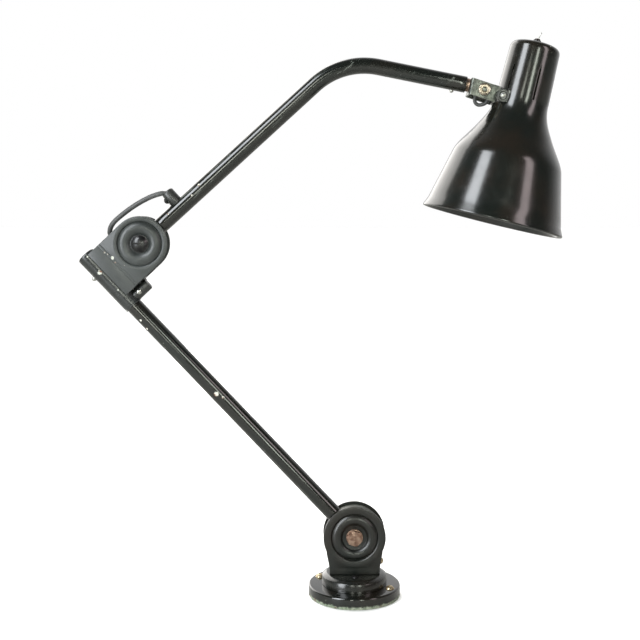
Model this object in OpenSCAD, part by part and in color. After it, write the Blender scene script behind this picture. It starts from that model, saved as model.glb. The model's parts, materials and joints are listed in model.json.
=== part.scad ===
// Desk lamp of the architect type: a round base, a swivelling turret, a straight lower
// arm, an elbow, a bent upper arm and a bell-shaped shade on a tilting bracket.
// Millimetres. The origin is the centre of the base's underside, +Z is up, the lower arm
// leans towards -X and the shade hangs on the +X side.

/* [Base] */
// Diameter of the base flange
base_d = 106; // [100:1:150]
// Thickness of the base flange
base_t = 12.5; // [11:0.5:20]
// Distance from the flange's rim to the centres of its screw holes
screw_inset = 8.5; // [7:0.5:9]
// Diameter of the screw holes in the flange
screw_hole_d = 5.2; // [4:0.2:6]
// Diameter of the brass screw heads
base_screw_head_d = 10.4; // [8:0.2:12]

/* [Turret] */
// Diameter of the turret's foot ring
turret_d = 75; // [66:1:76]
// Height of the foot ring's upright side
turret_side_h = 9.7; // [8:0.1:14]
// Width of the neck below the cheeks
neck_w = 58; // [50:1:60]
// Height of the lower pivot above the table
pivot_h = 68; // [66:1:90]
// Radius of the round cheeks at the lower pivot
cheek_r = 36; // [35:0.5:40]
// Thickness of the cheek and cover plates
plate_t = 3; // [2.5:0.25:4]

/* [Arms] */
// Outer diameter of both arm tubes
tube_d = 19; // [16:0.5:23]
// Wall of both arm tubes
tube_wall = 1.5; // [1:0.25:2]
// Lean of the lower arm from upright, towards -X
lower_lean = 43.8; // [20:0.1:60]
// Distance along the lower arm from its pivot to the elbow pivot
elbow_along = 416.3; // [300:0.1:500]
// Distance from the upper arm's pivot to the corner of its bend
corner_along = 317; // [280:1:380]
// Length from the corner of the bend to the upper arm's tip
tip_run = 147; // [120:1:200]
// Lean of the upper arm from upright, towards +X
upper_lean = 47.5; // [30:0.5:60]
// Angle of the bend in the upper arm
bend_angle = 53.9; // [40:0.1:70]
// Centre-line radius of the bend
bend_r = 86; // [60:1:110]

/* [Elbow] */
// Radius of the elbow covers
cover_r = 32; // [31:0.5:36]
// Wall of the elbow sleeve
sleeve_wall = 1.6; // [1.2:0.1:2.5]
// Length of the elbow sleeve
sleeve_l = 82; // [78:1:110]
// Height of the saddle's foot above the sleeve
foot_h = 11; // [9:0.5:13]

/* [Head] */
// Width of the head bracket over its flanges
bracket_w = 30.4; // [29:0.2:32]
// Thickness of the head bracket's sheet
bracket_t = 2; // [1.5:0.25:2.5]
// Lean of the shade's axis from upright, towards +X
shade_lean = 14.2; // [0:0.05:30]
// Diameter of the shade over its rolled rim
shade_d = 164.4; // [150:0.2:200]
// Diameter of the shade's neck
shade_neck_d = 61; // [58:0.5:64]
// Height of the shade from rim to crown
shade_h = 215; // [212:1:240]
// Thickness of the shade's sheet
shade_t = 1; // [0.8:0.1:1.5]
// Number of ventilation slots in the shade's neck
slot_count = 6; // [4:1:8]

/* [Hidden] */
$fn = 96;

// Clearances
move_gap = 0.3;    // between pieces that move past each other
run_gap = 0.05;    // radial, between a shaft and the hole that it turns in
seat_gap = 0.05;   // between fixed pieces that seat on each other
side_gap = 0.5;    // between an arm tube and the plates beside it
cut = 1;           // how far a cutting tool runs past the surface that it cuts

// Tubes and the drums that carry them
tube_r = tube_d / 2;
tube_ri = tube_r - tube_wall;
gap_half = tube_r + side_gap;            // from the middle plane to a plate's inner face
plate_out = gap_half + plate_t;          // from the middle plane to a plate's outer face
cup_depth = 1;                           // how far a plate's middle sinks inside its gap
cup_floor = gap_half + cup_depth;        // outer face of the sunk middle
cup_wall = 2;                            // wall around a sunk middle
drum_half = tube_r + 0.1;                // half the width of a drum
spigot_l = 25;                           // length of a drum's spigot inside its tube
flex_r = 3;                              // radius of the flex in the arms
flex_bore_r = 3.15;                      // radius of the holes that the flex passes
turn_room_r = 3.4;                       // radius of the room where a cable turns

// Pivot hardware
pivot_r = 5;                             // radius of both pivot shafts
hex_af = 16;                             // across flats of the hexagons on the pivots
washer_r = 9.5;
washer_t = 0.8;
head_h = 4.5;
nut_h = 6;
shaft_over = 1.5;                        // how far a shaft stands past its nut
seat_y = cup_floor + washer_t + 2 * seat_gap;    // where heads and nuts bear

// Base
base_chamfer = 1;
base_recess_r = 20;
base_recess_h = 7;
hole_count = 4;
first_hole = 64;                         // degrees; an empty hole, then every second one
hole_circle_r = base_d / 2 - screw_inset;
base_head_h = 3.4;
base_shank_r = 2;                        // radius of the brass screws
shank_lift = 0.6;                        // the screws end this far above the table
gland_z = 5.5;
gland_bore_r = 3.2;
gland_r = 4.25;
gland_collar_r = 5.2;
gland_collar_t = 1.5;
gland_l = 14;                            // length of the gland inside the flange

// Turret
turret_z = base_t + move_gap;
turret_top = turret_z + turret_side_h + 3;
turret_top_r = turret_d / 2 - 5.5;
stud_r = 8;
stud_bore_r = 4.5;
stud_top = turret_z + 14;
stud_low = 1.5;
swivel_nut_af = 24;
swivel_nut_h = 3.8;
swivel_washer_r = 16;
swivel_washer_t = 1;
core_horn = 18;                          // the core stops this far below the pivot
taper_drop = 15.6;                       // from the pivot down to where the cheek tapers
taper_z = pivot_h - taper_drop;
taper_x = sqrt(cheek_r * cheek_r - taper_drop * taper_drop);
neck_z = taper_z - 19.7;                 // where the taper reaches the neck's width
lower_drum_r = cheek_r - 3;
drum_clear = 0.5;                        // between a drum and the casting around it
cheek_recess_r = 14.5;
cheek_groove_r = 25.4;
side_screw_z = 38;
side_screw_lift = 0.8;                   // its flat underside clears the sloping side
turret_screw_y = 21.5;
turret_screw_r = 3.9;

// Elbow, in the lower arm's frame: +Z along the arm, +X away from the sleeve
sleeve_r = tube_r + run_gap + sleeve_wall;
sleeve_top = elbow_along + 35.7;
sleeve_low = sleeve_top - sleeve_l;
sleeve_cap = 3;
tube_top = sleeve_top - sleeve_cap - 3;
elbow_reach = sleeve_r + 44.5;
foot_top = sleeve_r + foot_h;
elbow_drum_r = cover_r - 3;
cover_recess_r = 11.6;
cover_groove_r = 24.5;
elbow_head_r = 10.5;
retain_along = elbow_along + 8.3;        // the retaining screw's place on the sleeve
retain_r = 2;
retain_groove = 0.8;
entry_r = 7;
entry_along = sleeve_low + entry_r + 0.2;
entry_top = sleeve_r + 18.8;
entry_bend = entry_top - 6;              // where the cable turns inside the entry
entry_screw_r = 4;
slot_half = 75;                          // half the angle of the tube's cable slot

// Upper arm, in its own frame: +Z along the tube, -X is its upper side
boss_along = 62.6;
boss_top = tube_r + 15.5;
boss_r = 7.4;
boss_exit = 3.5;                         // the cable's exit starts this far below the top
tangent = bend_r * tan(bend_angle / 2);
head_lean = upper_lean + bend_angle;
tip_screw_back = 15;                     // from the tip back to its set screw

// Head, in the tip's frame: +Z out of the tube, +X down
collar_r = 8;
collar_l = 3.7;
journal_r = 5;
nipple_bore_r = 3;
web_z = collar_l + move_gap;
nipple_nut_z = web_z + bracket_t + move_gap;
nipple_nut_h = 2.3;
nipple_nut_af = 13;
hinge_x = 3.3;                           // the tilt pivot below the arm's axis
hinge_z = 20.6;                          // the tilt pivot past the tube's end
flange_in = bracket_w / 2 - bracket_t;
hinge_r = 4.5;
hinge_bore_r = 2.4;
hinge_head_r = 7.2;
hinge_head_h = 3;
tongue_half = flange_in - 0.5;
tongue_t = 3.7;
tongue_r = 8;

// Shade, in its own frame: +Z up its axis from the rim, -X towards the bracket
neck_r = shade_neck_d / 2;
hinge_stand = 16.7;                      // from the neck's surface to the tilt pivot
band_t = 1.5;                            // the yoke's band around the neck
flange_reach = hinge_stand + 0.9;        // how far the flanges reach past the pivot
hinge_drop = 70;                         // from the crown down to the tilt pivot
hinge_up = shade_h - hinge_drop;
hinge_side = neck_r + 0.4 + hinge_stand;
ear_x = -26.7;
ear_drop = 3.2;                          // the ears' centres below the tilt pivot
ear_r = 7.6;
ear_out = 25.8;
band_h = 16;
bead_r = 1.6;
slot_w = 1.8;
slot_l = 37;
slot_drop = 71;                          // from the crown down to the slots' lower ends
first_slot = 12.5;                       // degrees from -Y towards +X
grommet_r = 4;
head_flex_r = 2.15;
holder_r = 19.5;
bulb_cap_r = 13.2;
bulb_r = 30;
switch_bush_r = 3;
lever_lean = 10;
lever_l = 11.8;                          // from the lever's axis to its ball end
lever_axis_drop = -0.4;                  // the lever's axis below the crown

// Places of the moving joints in the lamp's frame
elbow_x = elbow_reach * cos(lower_lean) - elbow_along * sin(lower_lean);
elbow_z = pivot_h + elbow_reach * sin(lower_lean) + elbow_along * cos(lower_lean);
tip_side = tip_run * sin(bend_angle);
tip_up = corner_along + tip_run * cos(bend_angle);
tip_x = elbow_x + tip_side * cos(upper_lean) + tip_up * sin(upper_lean);
tip_z = elbow_z - tip_side * sin(upper_lean) + tip_up * cos(upper_lean);
tilt_x = tip_x + hinge_x * cos(head_lean) + hinge_z * sin(head_lean);
tilt_z = tip_z - hinge_x * sin(head_lean) + hinge_z * cos(head_lean);
shade_x = tilt_x + hinge_side * cos(shade_lean) - hinge_up * sin(shade_lean);
shade_z = tilt_z - hinge_side * sin(shade_lean) - hinge_up * cos(shade_lean);

// Routes of the two cables that show, in the lamp's frame
elbow_route = [                          // from the elbow pivot
    [4.3, 1, -50], [4.3, 9, -50], [3, 15.5, -48], [-1.5, 18.8, -40.5],
    [-8, 19.2, -30], [-16, 19.2, -17.5], [-25.5, 18.6, -5.5], [-35.5, 17, 4],
    [-39, 12.5, 13], [-35, 9, 23], [-24, 6, 33], [-7, 3, 45],
    [10, 1, 54], [22, 0, 58], [27, 0, 58.2], [31, 0, 58]
];
head_route = [                           // from the tilt pivot
    [-15, 0, 6.7], [-11, 0, 5.7], [-8, 2.5, 2.3], [-7.2, 5.5, -3.6],
    [-7.9, 7.5, -9.6], [-6.5, 8, -13.6], [-2.5, 8, -15.5], [3.5, 6, -14.1],
    [8, 2.5, -9.6], [12, 0, -6.3], [15.5, 0, -7.2], [19.5, 0, -8.2]
];

// ---- helpers ----------------------------------------------------------------

// Places the children in the frame of an arm, the tip or the shade
module at_lower() {
    translate([0, 0, pivot_h]) rotate([0, -lower_lean, 0]) children();
}
module at_upper() {
    translate([elbow_x, 0, elbow_z]) rotate([0, upper_lean, 0]) children();
}
module at_tip() {
    translate([tip_x, 0, tip_z]) rotate([0, head_lean, 0]) children();
}
module at_shade() {
    translate([shade_x, 0, shade_z]) rotate([0, shade_lean, 0]) children();
}

// Turns the children's +Z to the front, -Y, or to the back, +Y
module to_front() {
    rotate([90, 0, 0]) children();
}
module to_back() {
    rotate([-90, 0, 0]) children();
}

// A rod along Y, the same length to both sides of the middle plane
module cross_rod(r, half) {
    rotate([90, 0, 0]) cylinder(h = 2 * half, r = r, center = true);
}

module ring(r_out, r_in, h) {
    difference() {
        cylinder(h = h, r = r_out);
        translate([0, 0, -cut]) cylinder(h = h + 2 * cut, r = r_in);
    }
}

module hexagon(across, h) {
    cylinder(h = h, r = across / sqrt(3), $fn = 6);
}

// Round screw head standing on z = 0, with a straight slot
module round_head(r, h, slot = 1.4) {
    sphere_r = (r * r + h * h) / (2 * h);
    difference() {
        intersection() {
            translate([0, 0, h - sphere_r]) sphere(r = sphere_r);
            cylinder(h = h + cut, r = r + cut);
        }
        translate([-r, -slot / 2, h * 0.55]) cube([2 * r, slot, h]);
    }
}

// Points of a cubic curve, the first point left out
function bezier(a, b, c, d, n) = [
    for (i = [1 : n])
        let (t = i / n, s = 1 - t)
        s * s * s * a + 3 * s * s * t * b + 3 * s * t * t * c + t * t * t * d
];

// A smooth line through a list of points
function smooth(p, steps) = [
    for (i = [0 : len(p) - 2], k = [0 : steps - 1])
        let (
            a = p[max(i - 1, 0)], b = p[i], c = p[i + 1],
            d = p[min(i + 2, len(p) - 1)], t = k / steps
        )
        0.5 * (2 * b + (c - a) * t + (2 * a - 5 * b + 4 * c - d) * t * t
            + (3 * b - a - 3 * c + d) * t * t * t),
    p[len(p) - 1]
];
function unit(v) = v / norm(v);
function heading(p, i) = unit(p[min(i + 1, len(p) - 1)] - p[max(i - 1, 0)]);

// A round cable along a line; side is a direction that the line never takes
module cable(line, r, sides, side) {
    n = len(line);
    points = [
        for (i = [0 : n - 1])
            let (
                t = heading(line, i), u = unit(cross(t, side)), v = cross(u, t)
            )
            for (k = [0 : sides - 1])
                line[i] + r * (cos(360 * k / sides) * u + sin(360 * k / sides) * v)
    ];
    walls = [
        for (i = [0 : n - 2], k = [0 : sides - 1])
            let (
                a = i * sides + k, b = i * sides + (k + 1) % sides,
                c = a + sides, d = b + sides
            )
            for (f = [[a, b, d], [a, d, c]]) f
    ];
    first = [for (k = [sides - 1 : -1 : 0]) k];
    last = [for (k = [0 : sides - 1]) (n - 1) * sides + k];
    polyhedron(points = points, faces = concat([first], walls, [last]));
}

// A rod that follows the upper arm's centre line, from start to past the tip by over.
// Its straight stretches run a little into the bend, which is thinner by a hair.
module bent_rod(r, start, over) {
    bend_start = corner_along - tangent;
    lap = 0.5;
    hair = 0.05;
    translate([0, 0, start]) cylinder(h = bend_start - start + lap, r = r);
    translate([bend_r, 0, bend_start])
        rotate([90, 0, 0])
            rotate([0, 0, 180 - bend_angle])
                rotate_extrude(angle = bend_angle)
                    translate([bend_r, 0]) circle(r = r - hair);
    translate([bend_r * (1 - cos(bend_angle)), 0, bend_start + bend_r * sin(bend_angle)])
        rotate([0, bend_angle, 0]) translate([0, 0, -lap])
            cylinder(h = tip_run - tangent + over + lap, r = r);
}

// ---- base --------------------------------------------------------------------

module base_hole_places(first, step) {
    for (a = [first : step : first + 359])
        rotate([0, 0, a]) translate([hole_circle_r, 0, 0]) children();
}

module base_flange() {
    r = base_d / 2;
    color("#23261f") difference() {
        rotate_extrude() polygon([
            [0, 0], [r - 0.5, 0], [r, 0.5], [r, base_t - base_chamfer],
            [r - base_chamfer, base_t], [0, base_t]
        ]);
        translate([0, 0, -cut]) cylinder(h = base_recess_h + cut, r = base_recess_r);
        cylinder(h = base_t + cut, r = stud_r + run_gap);
        base_hole_places(first_hole, 720 / hole_count)
            translate([0, 0, -cut]) cylinder(h = base_t + 2 * cut, r = screw_hole_d / 2);
        base_hole_places(first_hole + 360 / hole_count, 720 / hole_count)
            translate([0, 0, -cut]) cylinder(h = base_t + 2 * cut, r = base_shank_r + seat_gap);
        translate([0, 0, gland_z]) to_back() cylinder(h = r + cut, r = gland_r + seat_gap);
    }
}

module base_screws() {
    color("#b08d4a")
        base_hole_places(first_hole + 360 / hole_count, 720 / hole_count) {
            translate([0, 0, base_t + seat_gap])
                round_head(base_screw_head_d / 2, base_head_h);
            translate([0, 0, shank_lift])
                cylinder(h = base_t + seat_gap - shank_lift + 0.5, r = base_shank_r);
        }
}

module cord_gland() {
    color("#1b1b1b") translate([0, base_d / 2, gland_z]) to_front() difference() {
        union() {
            cylinder(h = gland_l, r = gland_r);
            translate([0, 0, -gland_collar_t])
                cylinder(h = gland_collar_t - seat_gap, r = gland_collar_r);
            translate([0, 0, -seat_gap - 0.1]) cylinder(h = 1, r = gland_r);
        }
        translate([0, 0, -gland_collar_t - cut])
            cylinder(h = gland_l + gland_collar_t + 2 * cut, r = gland_bore_r);
    }
}

// ---- turret ------------------------------------------------------------------

// Outline of the neck below the cheeks, in the plane of the cheeks
module neck_outline(bottom) {
    polygon([
        [-neck_w / 2, bottom], [neck_w / 2, bottom], [neck_w / 2, neck_z],
        [taper_x, taper_z], [-taper_x, taper_z], [-neck_w / 2, neck_z]
    ]);
}

module turret() {
    color("#1d211c") difference() {
        union() {
            rotate_extrude() polygon([
                [0, turret_z], [turret_d / 2, turret_z],
                [turret_d / 2, turret_z + turret_side_h], [turret_top_r, turret_top],
                [0, turret_top]
            ]);
            translate([0, gap_half - seat_gap, 0]) to_front()
                linear_extrude(height = 2 * (gap_half - seat_gap))
                    intersection() {
                        neck_outline(turret_top - 2);
                        translate([-cheek_r, 0])
                            square([2 * cheek_r, pivot_h - core_horn]);
                    }
        }
        translate([0, 0, pivot_h]) cross_rod(lower_drum_r + drum_clear, plate_out);
        translate([0, 0, turret_z - cut])
            cylinder(h = stud_top - turret_z + cut, r = stud_r + seat_gap);
        cylinder(h = pivot_h, r = stud_bore_r);
        translate([neck_w / 2 - 12, 0, side_screw_z]) rotate([0, 90, 0])
            cylinder(h = 30, r = 2 + seat_gap);
        for (side = [-1, 1])
            translate([0, side * turret_screw_y, turret_top - 6])
                cylinder(h = 6 + cut, r = 1.8 + seat_gap);
    }
}

module turret_screws() {
    color("#15171a")
        for (side = [-1, 1])
            translate([0, side * turret_screw_y, turret_top]) {
                translate([0, 0, seat_gap]) round_head(turret_screw_r, 2.6, 1);
                translate([0, 0, -5.5]) cylinder(h = 6, r = 1.8);
            }
}

module swivel_stud() {
    color("#8c8a80") difference() {
        translate([0, 0, stud_low]) cylinder(h = stud_top - stud_low - seat_gap, r = stud_r);
        cylinder(h = stud_top + cut, r = stud_bore_r);
    }
}

module swivel_washer() {
    color("#9a978c")
        translate([0, 0, base_recess_h - move_gap - swivel_washer_t])
            ring(swivel_washer_r, stud_r + seat_gap, swivel_washer_t);
}

module swivel_nut() {
    top = base_recess_h - move_gap - swivel_washer_t - seat_gap;
    color("#8c8a80") translate([0, 0, top - swivel_nut_h]) difference() {
        hexagon(swivel_nut_af, swivel_nut_h);
        translate([0, 0, -cut]) cylinder(h = swivel_nut_h + 2 * cut, r = stud_r + 0.02);
    }
}

// A pressed side plate, its outline given by the children, its outer face towards +Z
// and the pivot at the origin. z = 0 is the lamp's middle plane.
module side_plate(recess_r, groove_r) {
    bulge_mid = (recess_r + groove_r) / 2 + 0.6;
    bulge_half = (groove_r - recess_r) / 2 - 1.2;
    difference() {
        union() {
            translate([0, 0, gap_half]) linear_extrude(height = plate_t) children();
            translate([0, 0, gap_half - cup_depth])
                cylinder(h = plate_t + cup_depth, r = recess_r + cup_wall);
            translate([0, 0, plate_out]) rotate_extrude() translate([bulge_mid, 0])
                intersection() {
                    translate([0, -bulge_half * 1.3]) circle(r = bulge_half * 1.65);
                    translate([-bulge_half, -plate_t / 2])
                        square([2 * bulge_half, 2 * plate_t]);
                }
        }
        translate([0, 0, plate_out - 0.9]) ring(groove_r + 1.1, groove_r - 1.1, 3);
        translate([0, 0, cup_floor]) cylinder(h = 2 * plate_t, r = recess_r);
        translate([0, 0, gap_half - cup_depth - cut])
            cylinder(h = 2 * plate_t + 2 * cut, r = pivot_r + seat_gap);
    }
}

module cheek_outline() {
    circle(r = cheek_r);
    translate([0, -pivot_h]) neck_outline(turret_top + seat_gap);
}

module lower_cheek_front() {
    color("#20241f") translate([0, 0, pivot_h]) to_front()
        side_plate(cheek_recess_r, cheek_groove_r) cheek_outline();
}

module lower_cheek_back() {
    color("#20241f") mirror([0, 1, 0]) translate([0, 0, pivot_h]) to_front()
        side_plate(cheek_recess_r, cheek_groove_r) cheek_outline();
}

module lower_pivot_bolt() {
    color("#5d4433") translate([0, 0, pivot_h]) {
        to_front() translate([0, 0, seat_y]) hexagon(hex_af, head_h);
        translate([0, -seat_y - 0.5, 0]) to_back()
            cylinder(h = 2 * seat_y + 0.5 + nut_h + shaft_over, r = pivot_r);
    }
}

module lower_pivot_washers() {
    color("#77736a") translate([0, 0, pivot_h]) {
        to_front() translate([0, 0, cup_floor + seat_gap])
            ring(washer_r, pivot_r + seat_gap, washer_t);
        to_back() translate([0, 0, cup_floor + seat_gap])
            ring(washer_r, pivot_r + seat_gap, washer_t);
    }
}

module pivot_nut() {
    difference() {
        translate([0, 0, seat_y]) hexagon(hex_af, nut_h);
        cylinder(h = seat_y + nut_h + cut, r = pivot_r + 0.02);
    }
}

module lower_pivot_nut() {
    color("#5a5348") translate([0, 0, pivot_h]) to_back() pivot_nut();
}

module neck_side_screw() {
    side_x = neck_w / 2 + (taper_x - neck_w / 2) * (side_screw_z - neck_z)
        / (taper_z - neck_z);
    color("#b5924f") translate([side_x + side_screw_lift, 0, side_screw_z]) rotate([0, 90, 0]) {
        round_head(4, 3.2, 1);
        translate([0, 0, -10]) cylinder(h = 10.5, r = 2);
    }
}

// ---- lower arm ----------------------------------------------------------------

// A drum that turns between two side plates, its arm along +Z
module drum(r) {
    difference() {
        union() {
            cross_rod(r, drum_half);
            cylinder(h = r + 0.8, r = tube_r);
            cylinder(h = r + spigot_l, r = tube_ri - seat_gap);
        }
        cross_rod(pivot_r + run_gap, plate_out);
        translate([0, 0, pivot_r + 7]) cylinder(h = r + spigot_l, r = flex_r + 1);
        children();
    }
}

// The room that a plate's sunk middle needs in a drum's sides
module cup_room(recess_r) {
    depth = gap_half - cup_depth - move_gap;
    for (turn = [0, 180])
        rotate([0, 0, turn]) to_front() translate([0, 0, depth])
            cylinder(h = 4, r = recess_r + cup_wall + 0.7);
}

module lower_drum() {
    color("#8f9189") at_lower() drum(lower_drum_r) cup_room(cheek_recess_r);
}

module lower_tube() {
    start = lower_drum_r + 0.8 + seat_gap;
    color("#1c201b") at_lower() difference() {
        translate([0, 0, start]) cylinder(h = tube_top - start, r = tube_r);
        translate([0, 0, start - cut])
            cylinder(h = tube_top - start + 2 * cut, r = tube_ri);
        translate([0, 0, retain_along - retain_r - 0.4])
            ring(tube_r + cut, tube_r - retain_groove, 2 * retain_r + 0.8);
        translate([0, 0, entry_along - flex_bore_r]) rotate([0, 0, -slot_half])
            rotate_extrude(angle = 2 * slot_half)
                translate([tube_ri - cut, 0]) square([tube_wall + 2 * cut, 2 * flex_bore_r]);
    }
}

module lower_flex() {
    start = lower_drum_r + 1;
    color("#202020") at_lower() translate([0, 0, start])
        cylinder(h = entry_along - 10 - start, r = flex_r);
}

// ---- elbow ----------------------------------------------------------------------

module elbow_sleeve() {
    color("#1b1f1b") at_lower() difference() {
        translate([0, 0, sleeve_low]) union() {
            cylinder(h = sleeve_l - 1.5, r = sleeve_r);
            translate([0, 0, sleeve_l - 1.5]) rotate_extrude() {
                square([sleeve_r - 1.5, 1.5]);
                intersection() {
                    translate([sleeve_r - 1.5, 0]) circle(r = 1.5);
                    square([sleeve_r, 1.5]);
                }
            }
        }
        translate([0, 0, sleeve_low - cut])
            cylinder(h = sleeve_l - sleeve_cap + cut, r = tube_r + run_gap);
        translate([0, 0, entry_along]) rotate([0, 90, 0])
            cylinder(h = sleeve_r + cut, r = flex_bore_r);
        translate([0, 0, retain_along]) rotate([0, -90, 0])
            cylinder(h = sleeve_r + cut, r = retain_r + seat_gap);
    }
}

module sleeve_screw() {
    tip = tube_r - retain_groove + move_gap;
    color("#a9a8a2") at_lower() translate([0, 0, retain_along]) rotate([0, -90, 0]) {
        translate([0, 0, tip]) cylinder(h = sleeve_r + 0.8 - tip, r = retain_r);
        translate([0, 0, sleeve_r + 0.4]) round_head(3.1, 3.2, 0.9);
    }
}

module elbow_saddle() {
    low = elbow_along - cover_r;
    color("#2a2d2b") at_lower() difference() {
        union() {
            translate([4, -plate_out + 0.6, low])
                cube([foot_top - 4, 2 * plate_out - 1.2, 2 * cover_r]);
            translate([4, -gap_half + seat_gap, low])
                cube([foot_top + 12, 2 * (gap_half - seat_gap), 2 * cover_r]);
        }
        cylinder(h = sleeve_top + cut, r = sleeve_r + seat_gap);
        translate([elbow_reach, 0, elbow_along])
            cross_rod(elbow_drum_r + drum_clear, plate_out);
    }
}

module cover_outline() {
    circle(r = cover_r);
    translate([-elbow_reach + foot_top + seat_gap, -cover_r])
        square([elbow_reach - foot_top - seat_gap, 2 * cover_r]);
}

module elbow_cover_front() {
    color("#3b3e3b") at_lower() translate([elbow_reach, 0, elbow_along]) to_front()
        side_plate(cover_recess_r, cover_groove_r) cover_outline();
}

module elbow_cover_back() {
    color("#3b3e3b") at_lower() translate([elbow_reach, 0, elbow_along])
        mirror([0, 1, 0]) to_front()
            side_plate(cover_recess_r, cover_groove_r) cover_outline();
}

module elbow_pivot_screw() {
    bear = cup_floor + seat_gap;
    color("#202224") translate([elbow_x, 0, elbow_z]) {
        to_front() translate([0, 0, bear]) round_head(elbow_head_r, 4.6, 2.2);
        translate([0, -bear - 0.5, 0]) to_back()
            cylinder(h = bear + 0.5 + seat_y + nut_h + shaft_over, r = pivot_r);
    }
}

module elbow_pivot_washer() {
    color("#77736a") translate([elbow_x, 0, elbow_z]) to_back()
        translate([0, 0, cup_floor + seat_gap])
            ring(washer_r, pivot_r + seat_gap, washer_t);
}

module elbow_pivot_nut() {
    color("#5a5348") translate([elbow_x, 0, elbow_z]) to_back() pivot_nut();
}

module lower_cable_entry() {
    color("#151715") at_lower() difference() {
        translate([0, 0, entry_along]) rotate([0, 90, 0]) cylinder(h = entry_top, r = entry_r);
        cylinder(h = sleeve_top + cut, r = sleeve_r + seat_gap);
        translate([0, 0, entry_along]) rotate([0, 90, 0])
            cylinder(h = entry_bend, r = flex_bore_r);
        translate([entry_bend, 0, entry_along]) to_back()
            cylinder(h = 3 * entry_r, r = flex_bore_r);
        translate([entry_bend, 0, entry_along]) sphere(r = turn_room_r);
        translate([sleeve_r + 5, 0, entry_along]) to_front() cylinder(h = 2 * entry_r, r = 1.5);
    }
}

module lower_entry_screw() {
    color("#1a1c1e") at_lower() translate([sleeve_r + 5, 0, entry_along]) to_front() {
        translate([0, 0, entry_r + 0.05]) round_head(3.2, 2.4, 0.9);
        translate([0, 0, flex_bore_r + 0.4])
            cylinder(h = entry_r - flex_bore_r, r = 1.5 - seat_gap);
    }
}

module elbow_cable() {
    color("#3a3c3a") translate([elbow_x, 0, elbow_z])
        cable(smooth(elbow_route, 4), flex_r, 10, [-0.65, 0.7, 0.28]);
}

// ---- upper arm --------------------------------------------------------------------

module elbow_drum() {
    color("#8f9189") at_upper() drum(elbow_drum_r) cup_room(cover_recess_r);
}

module upper_tube() {
    start = elbow_drum_r + 0.8 + seat_gap;
    color("#1c201b") at_upper() difference() {
        bent_rod(tube_r, start, 0);
        bent_rod(tube_ri, start - cut, cut);
        translate([0, 0, boss_along]) rotate([0, -90, 0])
            cylinder(h = tube_r + cut, r = flex_bore_r);
        translate([tip_side, 0, tip_up]) rotate([0, bend_angle, 0])
            translate([0, 0, -tip_screw_back]) rotate([0, 90, 0])
                cylinder(h = tube_r + cut, r = 1.8);
    }
}

module upper_cable_entry() {
    color("#262a26") at_upper() difference() {
        translate([0, 0, boss_along]) rotate([0, -90, 0]) cylinder(h = boss_top, r = boss_r);
        cylinder(h = corner_along / 2, r = tube_r + seat_gap);
        translate([0, 0, boss_along]) rotate([0, -90, 0])
            cylinder(h = boss_top - boss_exit, r = flex_bore_r);
        translate([-boss_top + boss_exit, 0, boss_along]) {
            sphere(r = turn_room_r);
            rotate([0, -135, 0]) cylinder(h = 3 * boss_r, r = flex_bore_r);
        }
        translate([-tube_r - 7, 0, boss_along]) rotate([180, 0, 0])
            cylinder(h = 2 * boss_r, r = 1.8);
    }
}

module upper_entry_screw() {
    color("#1a1c1e") at_upper() translate([-tube_r - 7, 0, boss_along]) rotate([180, 0, 0]) {
        translate([0, 0, boss_r + 0.05]) round_head(3.9, 2.8, 1);
        translate([0, 0, flex_bore_r + 0.4])
            cylinder(h = boss_r - flex_bore_r, r = 1.8 - seat_gap);
    }
}

module upper_flex() {
    turn_r = 8;
    inner_r = flex_r - 0.4;
    color("#202020") at_upper() {
        translate([-turn_r + 0.3, 0, boss_along]) rotate([0, -90, 0])
            cylinder(h = boss_top - boss_exit - 6 - turn_r, r = inner_r);
        translate([-turn_r, 0, boss_along + turn_r]) rotate([90, 0, 0])
            rotate([0, 0, -90]) rotate_extrude(angle = 90)
                translate([turn_r, 0]) circle(r = inner_r - 0.03);
        bent_rod(inner_r, boss_along + turn_r - 0.3, -30);
    }
}

module tip_screw() {
    color("#8d8a82") at_tip() translate([0, 0, -tip_screw_back]) rotate([0, 90, 0]) {
        translate([0, 0, tube_ri + 0.1]) cylinder(h = tube_wall + 1, r = 1.75);
        translate([0, 0, tube_r + 0.3]) round_head(2.6, 2.8, 0.8);
    }
}

// ---- head -------------------------------------------------------------------------

module head_nipple() {
    color("#a8744f") at_tip() difference() {
        union() {
            translate([0, 0, -spigot_l]) cylinder(h = spigot_l + 1, r = tube_ri - seat_gap);
            translate([0, 0, seat_gap]) cylinder(h = collar_l - seat_gap, r = collar_r);
            cylinder(h = nipple_nut_z + nipple_nut_h, r = journal_r);
        }
        translate([0, 0, -spigot_l - cut])
            cylinder(h = spigot_l + nipple_nut_z + nipple_nut_h + 2 * cut, r = nipple_bore_r);
    }
}

module nipple_nut() {
    color("#9c8450") at_tip() translate([0, 0, nipple_nut_z]) difference() {
        hexagon(nipple_nut_af, nipple_nut_h);
        translate([0, 0, -cut]) cylinder(h = nipple_nut_h + 2 * cut, r = journal_r + 0.02);
    }
}

// A channel's section: closed at x = low, open towards +X, with rounded outer corners
module channel(low, half, r) {
    translate([low + r, -half]) square([60, 2 * half]);
    translate([low, -half + r]) square([60, 2 * half - 2 * r]);
    for (side = [-1, 1]) translate([low + r, side * (half - r)]) circle(r = r);
}

// The bracket's side outline, with x along the arm and y up
module bracket_outline() {
    top = 7.5;
    bottom = -12;
    droop = 0.1;                     // the bracket hangs a little below the arm's line
    end = hinge_z + flange_reach;
    intersection() {
        polygon([
            [web_z, bottom], [end, bottom - droop * end], [end, top - droop * end],
            [web_z, top]
        ]);
        union() {
            translate([0, -30]) square([hinge_z, 60]);
            translate([hinge_z, -hinge_x]) circle(r = flange_reach);
        }
    }
}

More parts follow.
